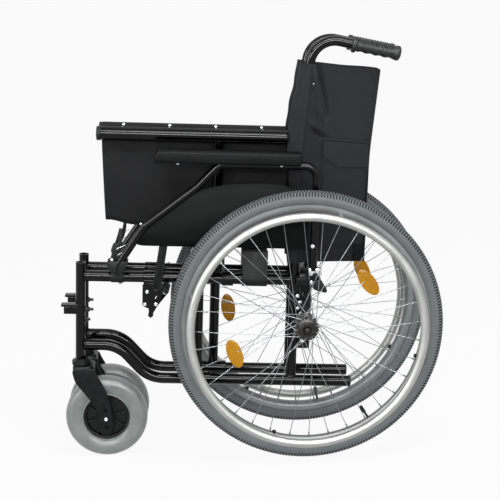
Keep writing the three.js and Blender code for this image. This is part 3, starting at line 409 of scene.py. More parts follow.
def woven_nylon(name, dark, light):
    # Coated nylon cloth: charcoal, matte with a soft sheen. Its 0.5 mm threads are drawn 1.5 mm
    # apart, because finer ones don't show in the picture
    made, tree, shader, place = start(
        name, IOR=1.45, Sheen_Weight=0.2, Sheen_Roughness=0.4, Specular_IOR_Level=0.2
    )
    flat = add(tree, "TexCoord").outputs["UV"]
    warp = add(tree, "TexWave", {"Vector": flat, "Scale": 21}, bands_direction="X").outputs["Fac"]
    weft = add(tree, "TexWave", {"Vector": flat, "Scale": 21}, bands_direction="Y").outputs["Fac"]
    threads = add(tree, "Math", {0: warp, 1: weft}, operation="MULTIPLY").outputs["Value"]
    cloud = speckle(tree, place, 0.05, 5)
    both = add(tree, "Math", {0: threads, 1: 0.3}, operation="MULTIPLY_ADD")
    tree.links.new(cloud, both.inputs[2])
    surface(
        tree, shader,
        Base_Color=shades(tree, both.outputs["Value"], dark, light),
        Roughness=between(tree, cloud, 0.72, 0.88),
    )
    bumps(tree, shader, threads, 0.00025, 0.5)
    return made


def blackened_steel():
    # Blackened steel of the hubs: dark brown-black, half gloss, handled
    made, tree, shader, place = start("Black oxide steel", IOR=1.5, Metallic=0.3)
    wear = speckle(tree, place, 0.008, 4)
    surface(
        tree, shader,
        Base_Color=shades(tree, wear, "#141110", "#26211f"),
        Roughness=between(tree, wear, 0.22, 0.4),
    )
    return made


def hole_shade():
    # Painted shade for the unlit inside of a hole, or the underside of a fitting: black, no gloss, a trace of
    # grey dust
    made, tree, shader, place = start("Painted hole shade", IOR=1.45, Specular_IOR_Level=0.05)
    dust = speckle(tree, place, 0.004, 3)
    surface(
        tree, shader,
        Base_Color=shades(tree, dust, "#010101", "#050505"),
        Roughness=between(tree, dust, 0.7, 0.9),
    )
    return made


materials = {
    "paint": powder_coat(),
    "plate": coated_plate(),
    "moulded": moulded_nylon(),
    "skirt": skirt_sheet(),
    "rim": brushed_alloy("Anodised rim alloy", "#727575", "#7e8181", 0.46, 0.56),
    "handrim": brushed_alloy("Anodised handrim tube", "#a2a3a1", "#aeafad", 0.42, 0.5),
    "zinc": plated_steel(),
    "wire": drawn_steel(),
    "tyre": tyre_rubber(),
    "caster": caster_polyurethane(),
    "amber": amber_lens(),
    "grip": grip_rubber(),
    "pad": pad_skin(),
    "cloth": woven_nylon("Coated nylon cloth", "#1c1d20", "#2a2b2f"),
    # The seat's cloth is the back's nylon painted darker, as painted shade over the folded seat
    "seat_cloth": woven_nylon("Coated nylon in painted shade", "#0a0b0d", "#131417"),
    "black": blackened_steel(),
    "painted_hole_shade": hole_shade(),
}


# Shapes


def towards(direction, place=(0, 0, 0)):
    """A matrix that lays something made along Z onto a direction and sets it at a place."""
    return Matrix.Translation(place) @ Vector(direction).to_track_quat("Z", "Y").to_matrix().to_4x4()


def arc_path(corners, radii, step=math.radians(5)):
    """The corners joined by straight lines, each bend rounded by its radius."""
    corners = [Vector(c) for c in corners]
    path = [corners[0]]
    for before, corner, after, radius in zip(corners, corners[1:], corners[2:], radii):
        back_way = (before - corner).normalized()
        on_way = (after - corner).normalized()
        bend = math.pi - back_way.angle(on_way)
        centre = corner + (back_way + on_way).normalized() * radius / math.cos(bend / 2)
        first = corner + back_way * radius * math.tan(bend / 2) - centre
        axis = (-back_way).cross(on_way).normalized()
        steps = max(2, math.ceil(bend / step))
        path += [centre + Matrix.Rotation(bend * i / steps, 3, axis) @ first for i in range(steps + 1)]
    return path + [corners[-1]]


def sweep(bm, path, radius, around=32, wall=0.0, rounding=0.0):
    """A tube along a path, open with a wall, or closed by caps with rounded rims."""
    path = [Vector(p) for p in path]
    ends = []
    for size in [radius, radius - wall] if wall else [radius]:
        heading = (path[1] - path[0]).normalized()
        ring = bmesh.ops.create_circle(
            bm, segments=around, radius=size, cap_ends=False, matrix=towards(heading, path[0])
        )["verts"]
        edges = list({e for v in ring for e in v.link_edges})
        ends.append(edges)
        for index in range(1, len(path)):
            grown = bmesh.ops.extrude_edge_only(bm, edges=edges)["geom"]
            verts = [g for g in grown if isinstance(g, bmesh.types.BMVert)]
            fresh = set(verts)
            edges = [
                g for g in grown
                if isinstance(g, bmesh.types.BMEdge) and g.verts[0] in fresh and g.verts[1] in fresh
            ]
            onwards = path[min(index + 1, len(path) - 1)] - path[index]
            direction = ((path[index] - path[index - 1]).normalized() + onwards.normalized()).normalized()
            turn = heading.rotation_difference(direction).to_matrix().to_4x4()
            move = Matrix.Translation(path[index]) @ turn @ Matrix.Translation(-path[index - 1])
            bmesh.ops.transform(bm, matrix=move, verts=verts)
            heading = direction
        ends.append(edges)
    rims = ends[0] + ends[1]
    if wall:
        bmesh.ops.bridge_loops(bm, edges=ends[0] + ends[2])
        bmesh.ops.bridge_loops(bm, edges=ends[1] + ends[3])
    else:
        for edges in ends:
            bmesh.ops.contextual_create(bm, geom=edges)
    if rounding:
        bmesh.ops.bevel(
            bm, geom=rims, offset=rounding, segments=2, profile=0.5, affect="EDGES",
            material=-1, clamp_overlap=True,
        )


def rod(bm, low, high, radius, around=24, rounding=0.0, tip=None):
    """A round bar between two points, or a cone if its tip differs."""
    low, high = Vector(low), Vector(high)
    verts = bmesh.ops.create_cone(
        bm, cap_ends=True, segments=around, radius1=radius, radius2=radius if tip is None else tip,
        depth=(high - low).length, matrix=towards(high - low, (low + high) / 2),
    )["verts"]
    if rounding:
        rims = {e for v in verts for e in v.link_edges if any(len(f.verts) > 4 for f in e.link_faces)}
        bmesh.ops.bevel(
            bm, geom=list(rims), offset=rounding, segments=2, profile=0.5, affect="EDGES", material=-1
        )


def turned(direction, place=(0, 0, 0)):
    """A matrix that lays something lathed about the out axis onto a direction and sets it at a place."""
    turn = OUTWARD.rotation_difference(Vector(direction)).to_matrix().to_4x4()
    return Matrix.Translation(place) @ turn


def lathe(bm, profile, steps, matrix=None, closed=True):
    """A profile of radius and out spun about the out axis."""
    verts = [bm.verts.new((r, y, 0)) for r, y in profile]
    pairs = list(zip(verts, verts[1:] + verts[:1] if closed else verts[1:]))
    edges = [bm.edges.new(pair) for pair in pairs]
    bmesh.ops.spin(
        bm, geom=verts + edges, cent=(0, 0, 0), axis=(0, 1, 0), dvec=(0, 0, 0),
        angle=2 * math.pi, steps=steps, use_merge=True,
    )
    made = set(verts)
    reached = list(verts)
    while reached:
        vert = reached.pop()
        for edge in vert.link_edges:
            other = edge.other_vert(vert)
            if other not in made:
                made.add(other)
                reached.append(other)
    if matrix is not None:
        bmesh.ops.transform(bm, matrix=matrix, verts=list(made))
    return list(made)


def box(bm, low, high, rounding=0.0):
    """A block between two corners."""
    low, high = Vector(low), Vector(high)
    place = Matrix.Translation((low + high) / 2) @ Matrix.Diagonal((*(high - low), 1))
    verts = bmesh.ops.create_cube(bm, size=1, matrix=place)["verts"]
    if rounding:
        edges = list({e for v in verts for e in v.link_edges})
        bmesh.ops.bevel(
            bm, geom=edges, offset=rounding, segments=2, profile=0.5, affect="EDGES", material=-1
        )


def eased(outline, times=2):
    """Cuts the corners of a closed outline so that it runs smoothly."""
    for _ in range(times):
        nearer = []
        for here, there in zip(outline, outline[1:] + outline[:1]):
            nearer.append([a * 0.75 + b * 0.25 for a, b in zip(here, there)])
            nearer.append([a * 0.25 + b * 0.75 for a, b in zip(here, there)])
        outline = nearer
    return outline


def plate(bm, outline, low, high, rounding=0.0, segments=2):
    """A flat outline of u and w with its thickness across."""
    verts = [bm.verts.new((u, low, w)) for u, w in outline]
    face = bm.faces.new(verts)
    grown = bmesh.ops.extrude_face_region(bm, geom=[face])["geom"]
    fresh = [g for g in grown if isinstance(g, bmesh.types.BMVert)]
    bmesh.ops.translate(bm, vec=(0, high - low, 0), verts=fresh)
    if rounding:
        ends = (set(verts), set(fresh))
        rims = {e for f in bm.faces if set(f.verts) in ends for e in f.edges}
        bmesh.ops.bevel(
            bm, geom=list(rims), offset=rounding, segments=segments, profile=0.5, affect="EDGES",
            material=-1, clamp_overlap=True,
        )


def screw(bm, place, direction, radius, height, around=20):
    """A domed screw head with a socket in it."""
    profile = [
        (0, height * 0.45), (radius * 0.38, height * 0.45), (radius * 0.42, height),
        (radius * 0.75, height * 0.88), (radius, height * 0.4), (radius, 0), (0, 0),
    ]
    lathe(bm, profile, around, turned(direction, place), closed=False)


def nut(bm, place, direction, radius, height):
    """A hexagonal nut or bolt head."""
    place, way = Vector(place), Vector(direction).normalized()
    rod(bm, place, place + way * height, radius, around=6, rounding=radius * 0.08)
    rod(bm, place, place + way * height * 1.5, radius * 0.5, around=16, rounding=radius * 0.08)


def weld(bm, place, direction, radius, bead=2.0):
    """A weld bead round a tube's end."""
    ring = [
        (radius + bead * math.cos(a) * 0.8, bead * math.sin(a))
        for a in [2 * math.pi * i / 8 for i in range(8)]
    ]
    lathe(bm, ring, 32, turned(direction, place))


def piece(bm, name, matrix, material, body, slot, nodes=(), sharp=35, tidy=True):
    """Makes the mesh an object of its own that rides on a body."""
    if tidy:
        bmesh.ops.remove_doubles(bm, verts=bm.verts, dist=1e-3)
    bm.transform(matrix)
    bmesh.ops.recalc_face_normals(bm, faces=bm.faces)
    mesh = bpy.data.meshes.new(name)
    bm.to_mesh(mesh)
    bm.free()
    mesh.shade_smooth()
    mesh.set_sharp_from_angle(angle=math.radians(sharp))
    mesh.materials.append(materials[material])
    made = bpy.data.objects.new(name, mesh)
    bpy.context.scene.collection.objects.link(made)
    if body:
        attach(made, body)
    if nodes:
        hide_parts(*nodes)
    return made


def refined(node, name, material, body, slot, rounding=0.8, sharp=35):
    """A copy of a drawn bracket with its edges rounded."""
    bm = bmesh.new()
    bm.from_mesh(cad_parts[node].data)
    bmesh.ops.remove_doubles(bm, verts=bm.verts, dist=3e-6)
    bmesh.ops.dissolve_limit(
        bm, angle_limit=math.radians(1.5), use_dissolve_boundaries=False, verts=bm.verts, edges=bm.edges
    )
    edges = [e for e in bm.edges if len(e.link_faces) == 2 and e.calc_face_angle() > math.radians(40)]
    bmesh.ops.bevel(
        bm, geom=edges, offset=rounding * MM, segments=2, profile=0.5, affect="EDGES", material=-1,
        clamp_overlap=True,
    )
    return piece(bm, name, Matrix.Identity(4), material, body, slot, [node], sharp, tidy=False)


def ease(share):
    """A soft step from 0 to 1."""
    share = max(0.0, min(1.0, share))
    return share * share * (3 - 2 * share)


def read_off(table, at):
    """A value between the rows of a table."""
    for (low_at, low), (high_at, high) in zip(table, table[1:]):
        if at <= high_at:
            return low + (high - low) * ease((at - low_at) / (high_at - low_at))
    return table[-1][1]


# Frame tubes


def frame_tubes(side, sign):
    """The front post, the two side tubes and the back cane, with their small fittings."""
    body, place = side + "_frame", chair_frame(sign)
    bm = bmesh.new()
    sweep(bm, [(post.u, 0, post.low), (post.u, 0, post.top)], post.radius, 40, post.wall, 0.6)
    front = post.u - post.radius
    box(bm, (front - hook.reach, -hook.half, hook.low), (post.u - post.radius / 2, hook.half, hook.top), 1.2)
    box(
        bm, (front - hook.flange_reach, -hook.flange_half, hook.top - GAP),
        (post.u - post.radius / 2, hook.flange_half, hook.top + hook.flange), 1.5,
    )
    for w in post_screws.heights:
        at = (post.u + post_screws.start, 0, w)
        rod(bm, at, (post.u + post_screws.shank_to, 0, w), post_screws.shank, 16, 0.8)
        rod(bm, at, (post.u + post_screws.head_to, 0, w), post_screws.head, 20, 0.8)
    piece(bm, side + "_post_tube", place, "paint", body, "frame_paint", [side + "_front_post"])

    bm = bmesh.new()
    ends = [(post.u + post.radius - 3, 0, side_tube.upper), (cane.u - cane.radius + 3, 0, side_tube.upper)]
    sweep(bm, ends, side_tube.radius, 40)
    weld(bm, (post.u + post.radius - 1, 0, side_tube.upper), (1, 0, 0), side_tube.radius - 0.5)
    weld(bm, (cane.u - cane.radius + 1, 0, side_tube.upper), (1, 0, 0), side_tube.radius - 0.5)
    piece(bm, side + "_upper_side_tube", place, "paint", body, "frame_paint", [side + "_upper_tube"])

    bm = bmesh.new()
    line = [
        (post.u + post.radius - 3, 0, side_tube.front), (s_bend.front_u, 0, side_tube.front),
        (s_bend.rear_u, 0, side_tube.lower), (side_tube.rear - 5, 0, side_tube.lower),
    ]
    path = arc_path(line, [s_bend.radius, s_bend.radius])
    sweep(bm, path, side_tube.radius, 40, side_tube.wall, 0.5)
    weld(bm, (post.u + post.radius - 1, 0, side_tube.front), (1, 0, 0), side_tube.radius - 0.5)
    piece(bm, side + "_lower_side_tube", place, "paint", body, "frame_paint", [side + "_lower_tube"])

    bm = bmesh.new()
    # Dark discs set in the tube's wall at its holes: painted shade for their unlit insides
    for places, way in ((tube_holes.outer, 1), (tube_holes.inner, -1)):
        for u in places:
            low, high = sorted((way * (side_tube.radius - 2), way * (side_tube.radius + 0.25)))
            rod(bm, (u, low, tube_holes.w), (u, high, tube_holes.w), tube_holes.radius, 20)
    piece(bm, side + "_tube_holes", place, "painted_hole_shade", body, "black_plastic")

    bm = bmesh.new()
    outer = side_tube.radius
    profile = [
        (0, -12), (outer - 2, -12), (outer - 2, 0), (outer + 0.2, 0), (outer + 0.2, 3.4),
        (outer - 1.4, 4.8), (outer * 0.5, 5.2), (0, 5.2),
    ]
    lathe(bm, profile, 36, turned(REARWARD, (side_tube.rear - 5, 0, side_tube.lower)), closed=False)
    piece(bm, side + "_tube_plug", place, "moulded", body, "black_plastic")

    bm = bmesh.new()
    line = [
        (cane.u, 0, side_tube.lower + side_tube.radius - 2), (cane.u, 0, cane.lean_from), CANE_CORNER,
        GRIP_START + GRIP_AXIS * (grip.length - grip.end),
    ]
    sweep(bm, arc_path(line, [cane.knee, cane.bend], math.radians(4)), cane.radius, 40)
    weld(bm, (cane.u, 0, side_tube.lower + side_tube.radius - 0.6), (0, 0, 1), cane.radius - 0.3)
    piece(bm, side + "_cane_tube", place, "paint", body, "frame_paint", [side + "_back_cane"])


def hand_grip(side, sign):
    """A grip with a collar, fine ribs over its upper half, finger scallops beneath and an end lip."""
    outline = (
        (0, -0.6), (0.8, 0.8), (3, 1.2), (8, 1.2), (10, 0.6), (11.5, -1.0), (14, 0), (94, 0.2), (97, 1.2),
        (101, 1.6), (104.5, 0.9), (106.6, -1.6), (107.6, -5),
    )
    profile = [(cane.radius + 0.2, 0)]
    steps = 160
    for step in range(steps):
        at = grip.length * step / (steps - 1)
        profile.append((grip.radius + read_off(outline, at), at))
    profile += [(grip.radius * 0.4, grip.length), (0, grip.length)]
    ribs = Sizes(start=13, end=95, first=15, pitch=5.7, high=2.0, sunk=0.9)
    scallops = Sizes(pitch=20.5, depth=1.9, collar=9, collar_high=2.2)
    bm = bmesh.new()
    verts = lathe(bm, profile, 56, closed=False)
    upwards = turned(GRIP_AXIS).inverted().to_3x3() @ Vector((0, 0, 1))
    for vert in verts:
        reach = Vector((vert.co.x, 0, vert.co.z))
        if reach.length < grip.radius - 3:
            continue
        way = reach.normalized()
        rise = way.dot(upwards)
        at = vert.co.y
        if ribs.start < at < ribs.end:
            within = ease((at - ribs.start) / 3) * ease((ribs.end - at) / 3)
            rib = (0.5 + 0.5 * math.cos(2 * math.pi * (at - ribs.first) / ribs.pitch)) ** 0.7
            vert.co += way * within * ease((rise - 0.2) / 0.2) * (ribs.high * rib - ribs.sunk)
            scallop = 0.5 - 0.5 * math.cos(2 * math.pi * (at - ribs.start) / scallops.pitch)
            vert.co -= way * within * max(0.0, -rise) ** 1.6 * (scallops.depth * scallop)
        elif at < scallops.collar:
            vert.co += way * max(0.0, -rise) ** 3 * scallops.collar_high * ease(at / 2)
    bmesh.ops.transform(bm, matrix=turned(GRIP_AXIS, GRIP_START), verts=bm.verts)
    place = chair_frame(sign)
    piece(bm, side + "_hand_grip", place, "grip", side + "_frame", "grip_rubber", [side + "_push_grip"], 50)


# Cross brace


def cross_bar(name, sign, u, body, nodes):
    """A bar from its foot sleeve on one lower tube to the far seat rail."""
    foot = Vector((u, -sign * HALF, fold.low))
    head = Vector((u, sign * HALF * fold.arm_share, fold.rail))
    way = (head - foot).normalized()
    bm = bmesh.new()
    sweep(bm, [foot + way * (bar.sleeve - 3), head - way * (rail.core - 3)], bar.radius, 40)
    inner, half = side_tube.radius + GAP, bar.sleeve_half
    ring = [
        (inner, -half), (bar.sleeve - 0.8, -half), (bar.sleeve, -half + 0.8),
        (bar.sleeve, half - 0.8), (bar.sleeve - 0.8, half), (inner, half),
    ]
    lathe(bm, ring, 48, turned(REARWARD, foot))
    piece(bm, name, chair_frame(1, 0), "paint", body, "frame_paint", nodes)


def brace():
    """The two crossed bars with their pivot, and the seat rails that they carry."""
    cross_bar("brace_bar_a", 1, bar.left_u, "brace_a", ["cross_bar_a"])
    cross_bar("brace_bar_b", -1, bar.right_u, "brace_b", ["cross_bar_b"])
    bm = bmesh.new()
    low, high = bar.left_u - bar.radius, bar.right_u + bar.radius
    nut(bm, (low, 0, CROSSING), (-1, 0, 0), bar.nut, bar.nut_thick)
    nut(bm, (high + 0.6, 0, CROSSING), (1, 0, 0), bar.nut, bar.nut_thick)
    for u in (low - 0.2, high + 0.4):
        rod(bm, (u - 0.8, 0, CROSSING), (u + 0.8, 0, CROSSING), bar.nut + 1.6, 28, 0.3)
    middle = (bar.left_u + bar.right_u) / 2
    half = (bar.right_u - bar.left_u) / 2 - bar.radius
    rod(bm, (middle - half, 0, CROSSING), (middle + half, 0, CROSSING), bar.nut + 1, 28, 0.4)
    piece(bm, "brace_pivot_bolt", chair_frame(1, 0), "zinc", "brace_a", "axle_steel")
    for side, sign in SIDES:
        carrier = "brace_b" if side == "left" else "brace_a"
        place = chair_frame(sign)
        bm = bmesh.new()
        line = [(rail.front + 4, RAIL_OUT, fold.rail), (rail.rear - 9, RAIL_OUT, fold.rail)]
        sweep(bm, line, rail.radius, 40)
        piece(bm, side + "_seat_rail_tube", place, "paint", carrier, "frame_paint", [side + "_seat_rail"])
        bm = bmesh.new()
        for at, way, radius in ((rail.front, 1, rail.cap), (rail.rear - 5, -1, rail.radius - 2.5)):
            cap = [
                (0, 0), (radius * 0.6, 0), (radius - 1, way * 0.8), (radius, way * 2.4),
                (radius, way * (rail.cap_length - 1)), (radius - 0.8, way * rail.cap_length),
                (0, way * rail.cap_length),
            ]
            lathe(bm, cap, 36, turned(REARWARD, (at, RAIL_OUT, fold.rail)), closed=False)
        piece(bm, side + "_rail_caps", place, "moulded", carrier, "black_plastic")
        bm = bmesh.new()
        way = Vector((0, -math.sin(seat_screws.tilt), math.cos(seat_screws.tilt)))
        for u in seat_screws.places:
            at = Vector((u, RAIL_OUT, fold.rail)) + way * (seat.wrap + 0.9)
            screw(bm, at, way, seat_screws.radius, seat_screws.height)
        piece(bm, side + "_seat_screws", place, "zinc", carrier, "bracket_steel")
        refined(side + "_side_link", side + "_link_bar", "plate", side + "_side_link", "frame_paint", 0.9)


# Rear wheels


def circle_point(radius, angle, out):
    """A point of a wheel, by its distance from the axle and its angle."""
    return Vector((radius * math.cos(angle), out, radius * math.sin(angle)))


def tread_cell(vert):
    """The step round the tyre and the block across it that a point of the tread belongs to."""
    radius = math.hypot(vert.co.x, vert.co.z)
    section = wheel.radius - tyre.centre
    angle = math.atan2(vert.co.y / wheel.tyre_half, (radius - tyre.centre) / section)
    ring = (math.degrees(angle) - tyre.edge) / tyre.ring
    if not -0.3 < ring < tyre.rings - 0.7:
        return None
    share = (math.atan2(vert.co.z, vert.co.x) % (2 * math.pi)) / (2 * math.pi)
    last_block = tyre.rings // tyre.rings_in_block - 1
    return round(share * tyre.steps) % tyre.steps, min(round(ring) // tyre.rings_in_block, last_block), ring


def rear_tyre(side, body, place):
    """The tyre. Every second block of its tread is sunk, and the blocks are told apart by their UV, by which
    the sunk ones are painted dark as shade.
    """
    bm = bmesh.new()
    section = wheel.radius - tyre.centre
    tread = [tyre.edge + tyre.ring * i for i in range(tyre.rings)]
    wall = [-126, -112, -99, -88, -78]
    half = wheel.tyre_half - 0.2
    profile = [
        (tyre.centre + section * math.cos(math.radians(a)), half * math.sin(math.radians(a)))
        for a in wall + tread + [-a for a in reversed(wall)]
    ]
    cells = {}
    for vert in lathe(bm, profile, tyre.steps):
        cell = tread_cell(vert)
        if cell is None:
            continue
        step, block, ring = cell
        cells[vert] = (step, block)
        low = (step + block) % 2
        depth = (tyre.deep if abs(ring - 6) > 3 else tyre.shallow) * low
        radius = math.hypot(vert.co.x, vert.co.z)
        shrink = depth / math.hypot(radius - tyre.centre, vert.co.y)
        nearer = (tyre.centre + (radius - tyre.centre) * (1 - shrink)) / radius
        vert.co.x *= nearer
        vert.co.y *= 1 - shrink
        vert.co.z *= nearer
    layer = bm.loops.layers.uv.new("tread")
    for face in bm.faces:
        known = [cells.get(loop.vert) for loop in face.loops]
        for loop, cell in zip(face.loops, known):
            if None in known:
                loop[layer].uv = (0.5, 0.5)
            else:
                last = max(k[0] for k in known) == tyre.steps - 1
                once_round = tyre.steps if cell[0] == 0 and last else 0
                loop[layer].uv = (cell[0] + once_round + 0.5, cell[1] + 0.5)
    piece(bm, side + "_rear_tyre", place, "tyre", body, "tyre_grey", [side + "_wheel_tyre"], 180)


def wheel_spokes(turn):
    """For each spoke: its flange's side, whether it leads, and its angles at the hub and at the rim."""
    for flange in (1, -1):
        for index in range(spoke.count):
            leading = index % 2
            first = turn + (index + (0 if flange > 0 else 0.5)) * 2 * math.pi / spoke.count
            yield flange, leading, first, first + (spoke.sweep if leading else -spoke.sweep)


def rim_and_spokes(side, body, place, turn):
    """The rim with its nipples, and the crossed spokes."""
    bm = bmesh.new()
    profile = [
        (rim.inner, -4), (rim.inner + 1.2, -6.8), (rim.inner + 4, -8.6), (rim.shoulder - 2, -11.6),
        (rim.shoulder + 1, -12.8), (rim.shoulder + 5, -rim.half), (wheel.seat - 1, -rim.half),
        (wheel.seat, -rim.half + 0.8), (wheel.seat, -rim.half + 2.4), (wheel.seat - 1.5, -rim.half + rim.lip),
        (rim.channel, -rim.half + rim.lip),
    ]
    profile += [(r, -y) for r, y in reversed(profile)]
    lathe(bm, profile, 192)
    for flange, _, first, end in wheel_spokes(turn):
        at = circle_point(rim.inner + 1, end, flange * spoke.spread)
        inwards = (circle_point(spoke.hole_radius, first, flange * hub.flange_at) - at).normalized()
        rod(bm, at - inwards * 2, at + inwards * 9, 2.0, 10, tip=1.6)
    piece(bm, side + "_alloy_rim", place, "rim", body, "rim_alloy", [side + "_wheel_rim"])

    bm = bmesh.new()
    for flange, leading, first, end in wheel_spokes(turn):
        across = hub.flange_at + hub.flange_thick / 2 + (spoke.crossing if leading else -spoke.crossing)
        spread = spoke.spread + (spoke.crossing if leading else 0)
        low = circle_point(spoke.hole_radius, first, flange * across)
        high = circle_point(rim.inner + 2, end, flange * spread)
        rod(bm, low, high, spoke.radius, 8)
        rod(bm, low - OUTWARD * 1.2, low + OUTWARD * 1.2, 1.9, 8)
    piece(bm, side + "_spokes", place, "wire", body, "spoke_steel")


def wheel_hub(side, body, place, turn):
    """The hub's shell with the spokes' heads round its outer flange."""
    bm = bmesh.new()
    profile = [
        (6.7, -hub.inner), (hub.radius - 1, -hub.inner), (hub.radius, -hub.inner + 1),
        (hub.radius, -hub.flange_at - hub.flange_thick - 1),
        (hub.flange - 1, -hub.flange_at - hub.flange_thick), (hub.flange, -hub.flange_at - 1.5),
        (hub.flange - 1, -hub.flange_at), (hub.radius + 1, -hub.flange_at + 2),
        (hub.radius - 1.5, -hub.flange_at + 8),
        (hub.radius - 1.5, hub.flange_at - 8), (hub.radius + 1, hub.flange_at - 2),
        (hub.flange - 1, hub.flange_at), (hub.flange, hub.flange_at + 1.5),
        (hub.flange - 1, hub.flange_at + hub.flange_thick), (hub.cap, hub.cap_from),
        (hub.cap - 0.4, hub.outer - 1.6), (hub.cap - 2, hub.outer), (9.6, hub.outer), (8.7, hub.outer - 1),
        (8.7, hub.outer - 5), (6.7, hub.outer - 5),
    ]
    lathe(bm, profile, 64)
    for index in range(spoke.count):
        angle = turn + (index + 0.5) * 2 * math.pi / spoke.count
        at = circle_point(hub.flange - 1.2, angle, hub.flange_at + 1.5)
        rod(bm, at - OUTWARD * 2.2, at + OUTWARD * 2.2, 2.6, 12, 0.4)
    nodes = [side + "_wheel_hub"]
    piece(bm, side + "_hub_shell", place, "black", body, "black_plastic", nodes)


def reflectors(side, body, place, turn):
    """The oval amber reflectors between the spokes."""
    for number, centre_angle in enumerate(reflector.places):
        angle = math.radians(centre_angle) + turn
        bm = bmesh.new()
        lens = [
            (0, 2.9), (0.45, 2.7), (0.8, 2.0), (0.93, 1.2), (1.0, 0.4), (1.0, -0.4), (0.94, -1.4),
            (0.8, -2.0), (0, -2.4),
        ]
        lathe(bm, lens, 48, closed=False)
        shape = Matrix.Diagonal((reflector.short, 1, reflector.long, 1))
        at = Matrix.Translation(circle_point(reflector.centre, angle, reflector.out))
        twist = Matrix.Rotation(-angle, 4, OUTWARD)
        bmesh.ops.transform(bm, matrix=at @ twist @ shape, verts=bm.verts)
        piece(bm, f"{side}_reflector_{number + 1}", place, "amber", body, "spoke_steel", sharp=50)


def tab_angles(side):
    """Where the handrim's tabs meet the rim."""
    apart = 360 / handrim.tabs
    return [math.radians(handrim.first + turns[side] + index * apart) for index in range(handrim.tabs)]


def push_rim(side, body, place):
    """The handrim on its four tabs, the plugs over their screws, and the tyre's valve."""
    bm = bmesh.new()
    ring = [
        (handrim.radius + handrim.tube * math.cos(a), handrim.out + handrim.tube * math.sin(a))
        for a in [2 * math.pi * i / 24 for i in range(24)]
    ]
    lathe(bm, ring, 192)
    for angle in tab_angles(side):
        low = circle_point(handrim.tab_circle, angle, rim.half - 1)
        high = circle_point(handrim.tab_circle - 2, angle, handrim.out - 3)
        rod(bm, low, high, handrim.tab + 1.6, 20, tip=handrim.tab)
    piece(bm, side + "_push_rim", place, "handrim", body, "handrim_alloy", [side + "_handrim"])

    bm = bmesh.new()
    for angle in tab_angles(side):
        at = circle_point(rim.inner - 0.5, angle, 3)
        rod(bm, at, circle_point(rim.inner - 5, angle, 3), 4.6, 20, 0.9)
    angle = math.radians(valve.angles[side])
    tube = [circle_point(rim.inner - inwards, angle, 0) for inwards in (-2, valve.stem_to)]
    cap = [circle_point(rim.inner - inwards, angle, 0) for inwards in (valve.cap_from, valve.cap_to)]
    rod(bm, *tube, valve.stem, 16, 0.4)
    rod(bm, *cap, valve.cap, 16, 0.7)
    piece(bm, side + "_valve_and_plugs", place, "moulded", body, "black_plastic")


def release_button(side, place):
    """The button in the axle that lets the wheel off."""
    bm = bmesh.new()
    rest, proud = button.rest, button.proud
    dome = [
        (0, rest - button.stem_length), (button.stem, rest - button.stem_length), (button.stem, rest),
        (button.radius - 0.3, rest), (button.radius, rest + 0.8),
        (button.radius - 0.4, rest + proud * 0.5), (button.radius * 0.72, rest + proud * 0.86),
        (button.radius * 0.35, rest + proud), (0, rest + proud),
    ]
    lathe(bm, dome, 40, closed=False)
    nodes = [side + "_axle_button"]
    piece(bm, side + "_release_button", place, "black", side + "_button", "axle_steel", nodes)


def rear_wheel(side, sign):
    """One rear wheel, with all that turns with it, and its release button."""
    body = side + "_wheel"
    place = upright_frame(sign, wheel.x, wheel.out, wheel.z)
    turn = math.radians(turns[side])
    rear_tyre(side, body, place)
    rim_and_spokes(side, body, place, turn)
    wheel_hub(side, body, place, turn)
    reflectors(side, body, place, turn)
    push_rim(side, body, place)
    release_button(side, place)


# Casters


def caster_wheel(side, sign):
    """The caster's grey ring, its cross-section a rounded square, on a moulded wheel with ribs."""
    place = upright_frame(sign, caster.x, 0, caster.z)
    bm = bmesh.new()
    edge = caster.seat + 0.3
    rise = caster.radius - caster.middle
    squareness = 0.66
    lip = [
        (edge, -14.5), (edge + 0.3, -17.8), (edge + 1.3, -18.4), (edge + 2.4, -17.6), (edge + 3.2, -17.4),
        (edge + 7, -20.4),
    ]
    profile = list(lip)
    for index in range(25):
        angle = math.radians(-78 + 6.5 * index)
        bulge = math.copysign(abs(math.sin(angle)) ** squareness, angle)
        profile.append((caster.middle + rise * math.cos(angle) ** squareness, caster.bulge * bulge))
    profile += [(r, -y) for r, y in reversed(lip)]
    lathe(bm, profile, 144)
    nodes = [side + "_caster_tyre"]
    piece(bm, side + "_caster_ring", place, "caster", side + "_caster", "caster_grey", nodes, 40)

    bm = bmesh.new()
    outer = caster.seat - 0.2
    half = [
        (caster.bore, -caster.boss_half), (caster.boss - 1, -caster.boss_half),
        (caster.boss, -caster.boss_half + 1), (caster.boss, -caster.web), (outer - 7, -caster.web),
        (outer - 5, -14.5), (outer - 3.4, -15.6), (outer - 0.8, -15.6), (outer, -14.8),
    ]
    lathe(bm, half + [(r, -y) for r, y in reversed(half)], 96)
    for index in range(caster.ribs):
        rib_turn = Matrix.Rotation(-2 * math.pi * (index + 0.3) / caster.ribs, 4, OUTWARD)
        for way in (1, -1):
            low, high = sorted((way * (caster.web - 1), way * caster.rib_out))
            before = set(bm.verts)
            box(bm, (caster.boss - 2, low, -caster.rib_half), (outer - 5.5, high, caster.rib_half), 0.6)
            bmesh.ops.transform(bm, matrix=rib_turn, verts=[v for v in bm.verts if v not in before])
    nodes = [side + "_caster_wheel"]
    piece(bm, side + "_caster_hub", place, "moulded", side + "_caster", "black_plastic", nodes)


def crown_outline():
    """The fork's crown from above, with round corners."""
    middle = (fork.crown_front + fork.crown_rear) / 2
    straight_u = fork.crown_half - fork.corner
    straight_out = BLADE_OUT - 0.3 - fork.corner
    outline = []
    for quarter, (sx, sy) in enumerate(((1, 1), (-1, 1), (-1, -1), (1, -1))):
        for step in range(7):
            angle = math.pi / 2 * (quarter + step / 6)
            outline.append([
                middle + sx * straight_u + fork.corner * math.cos(angle),
                sy * straight_out + fork.corner * math.sin(angle),
            ])
    return outline


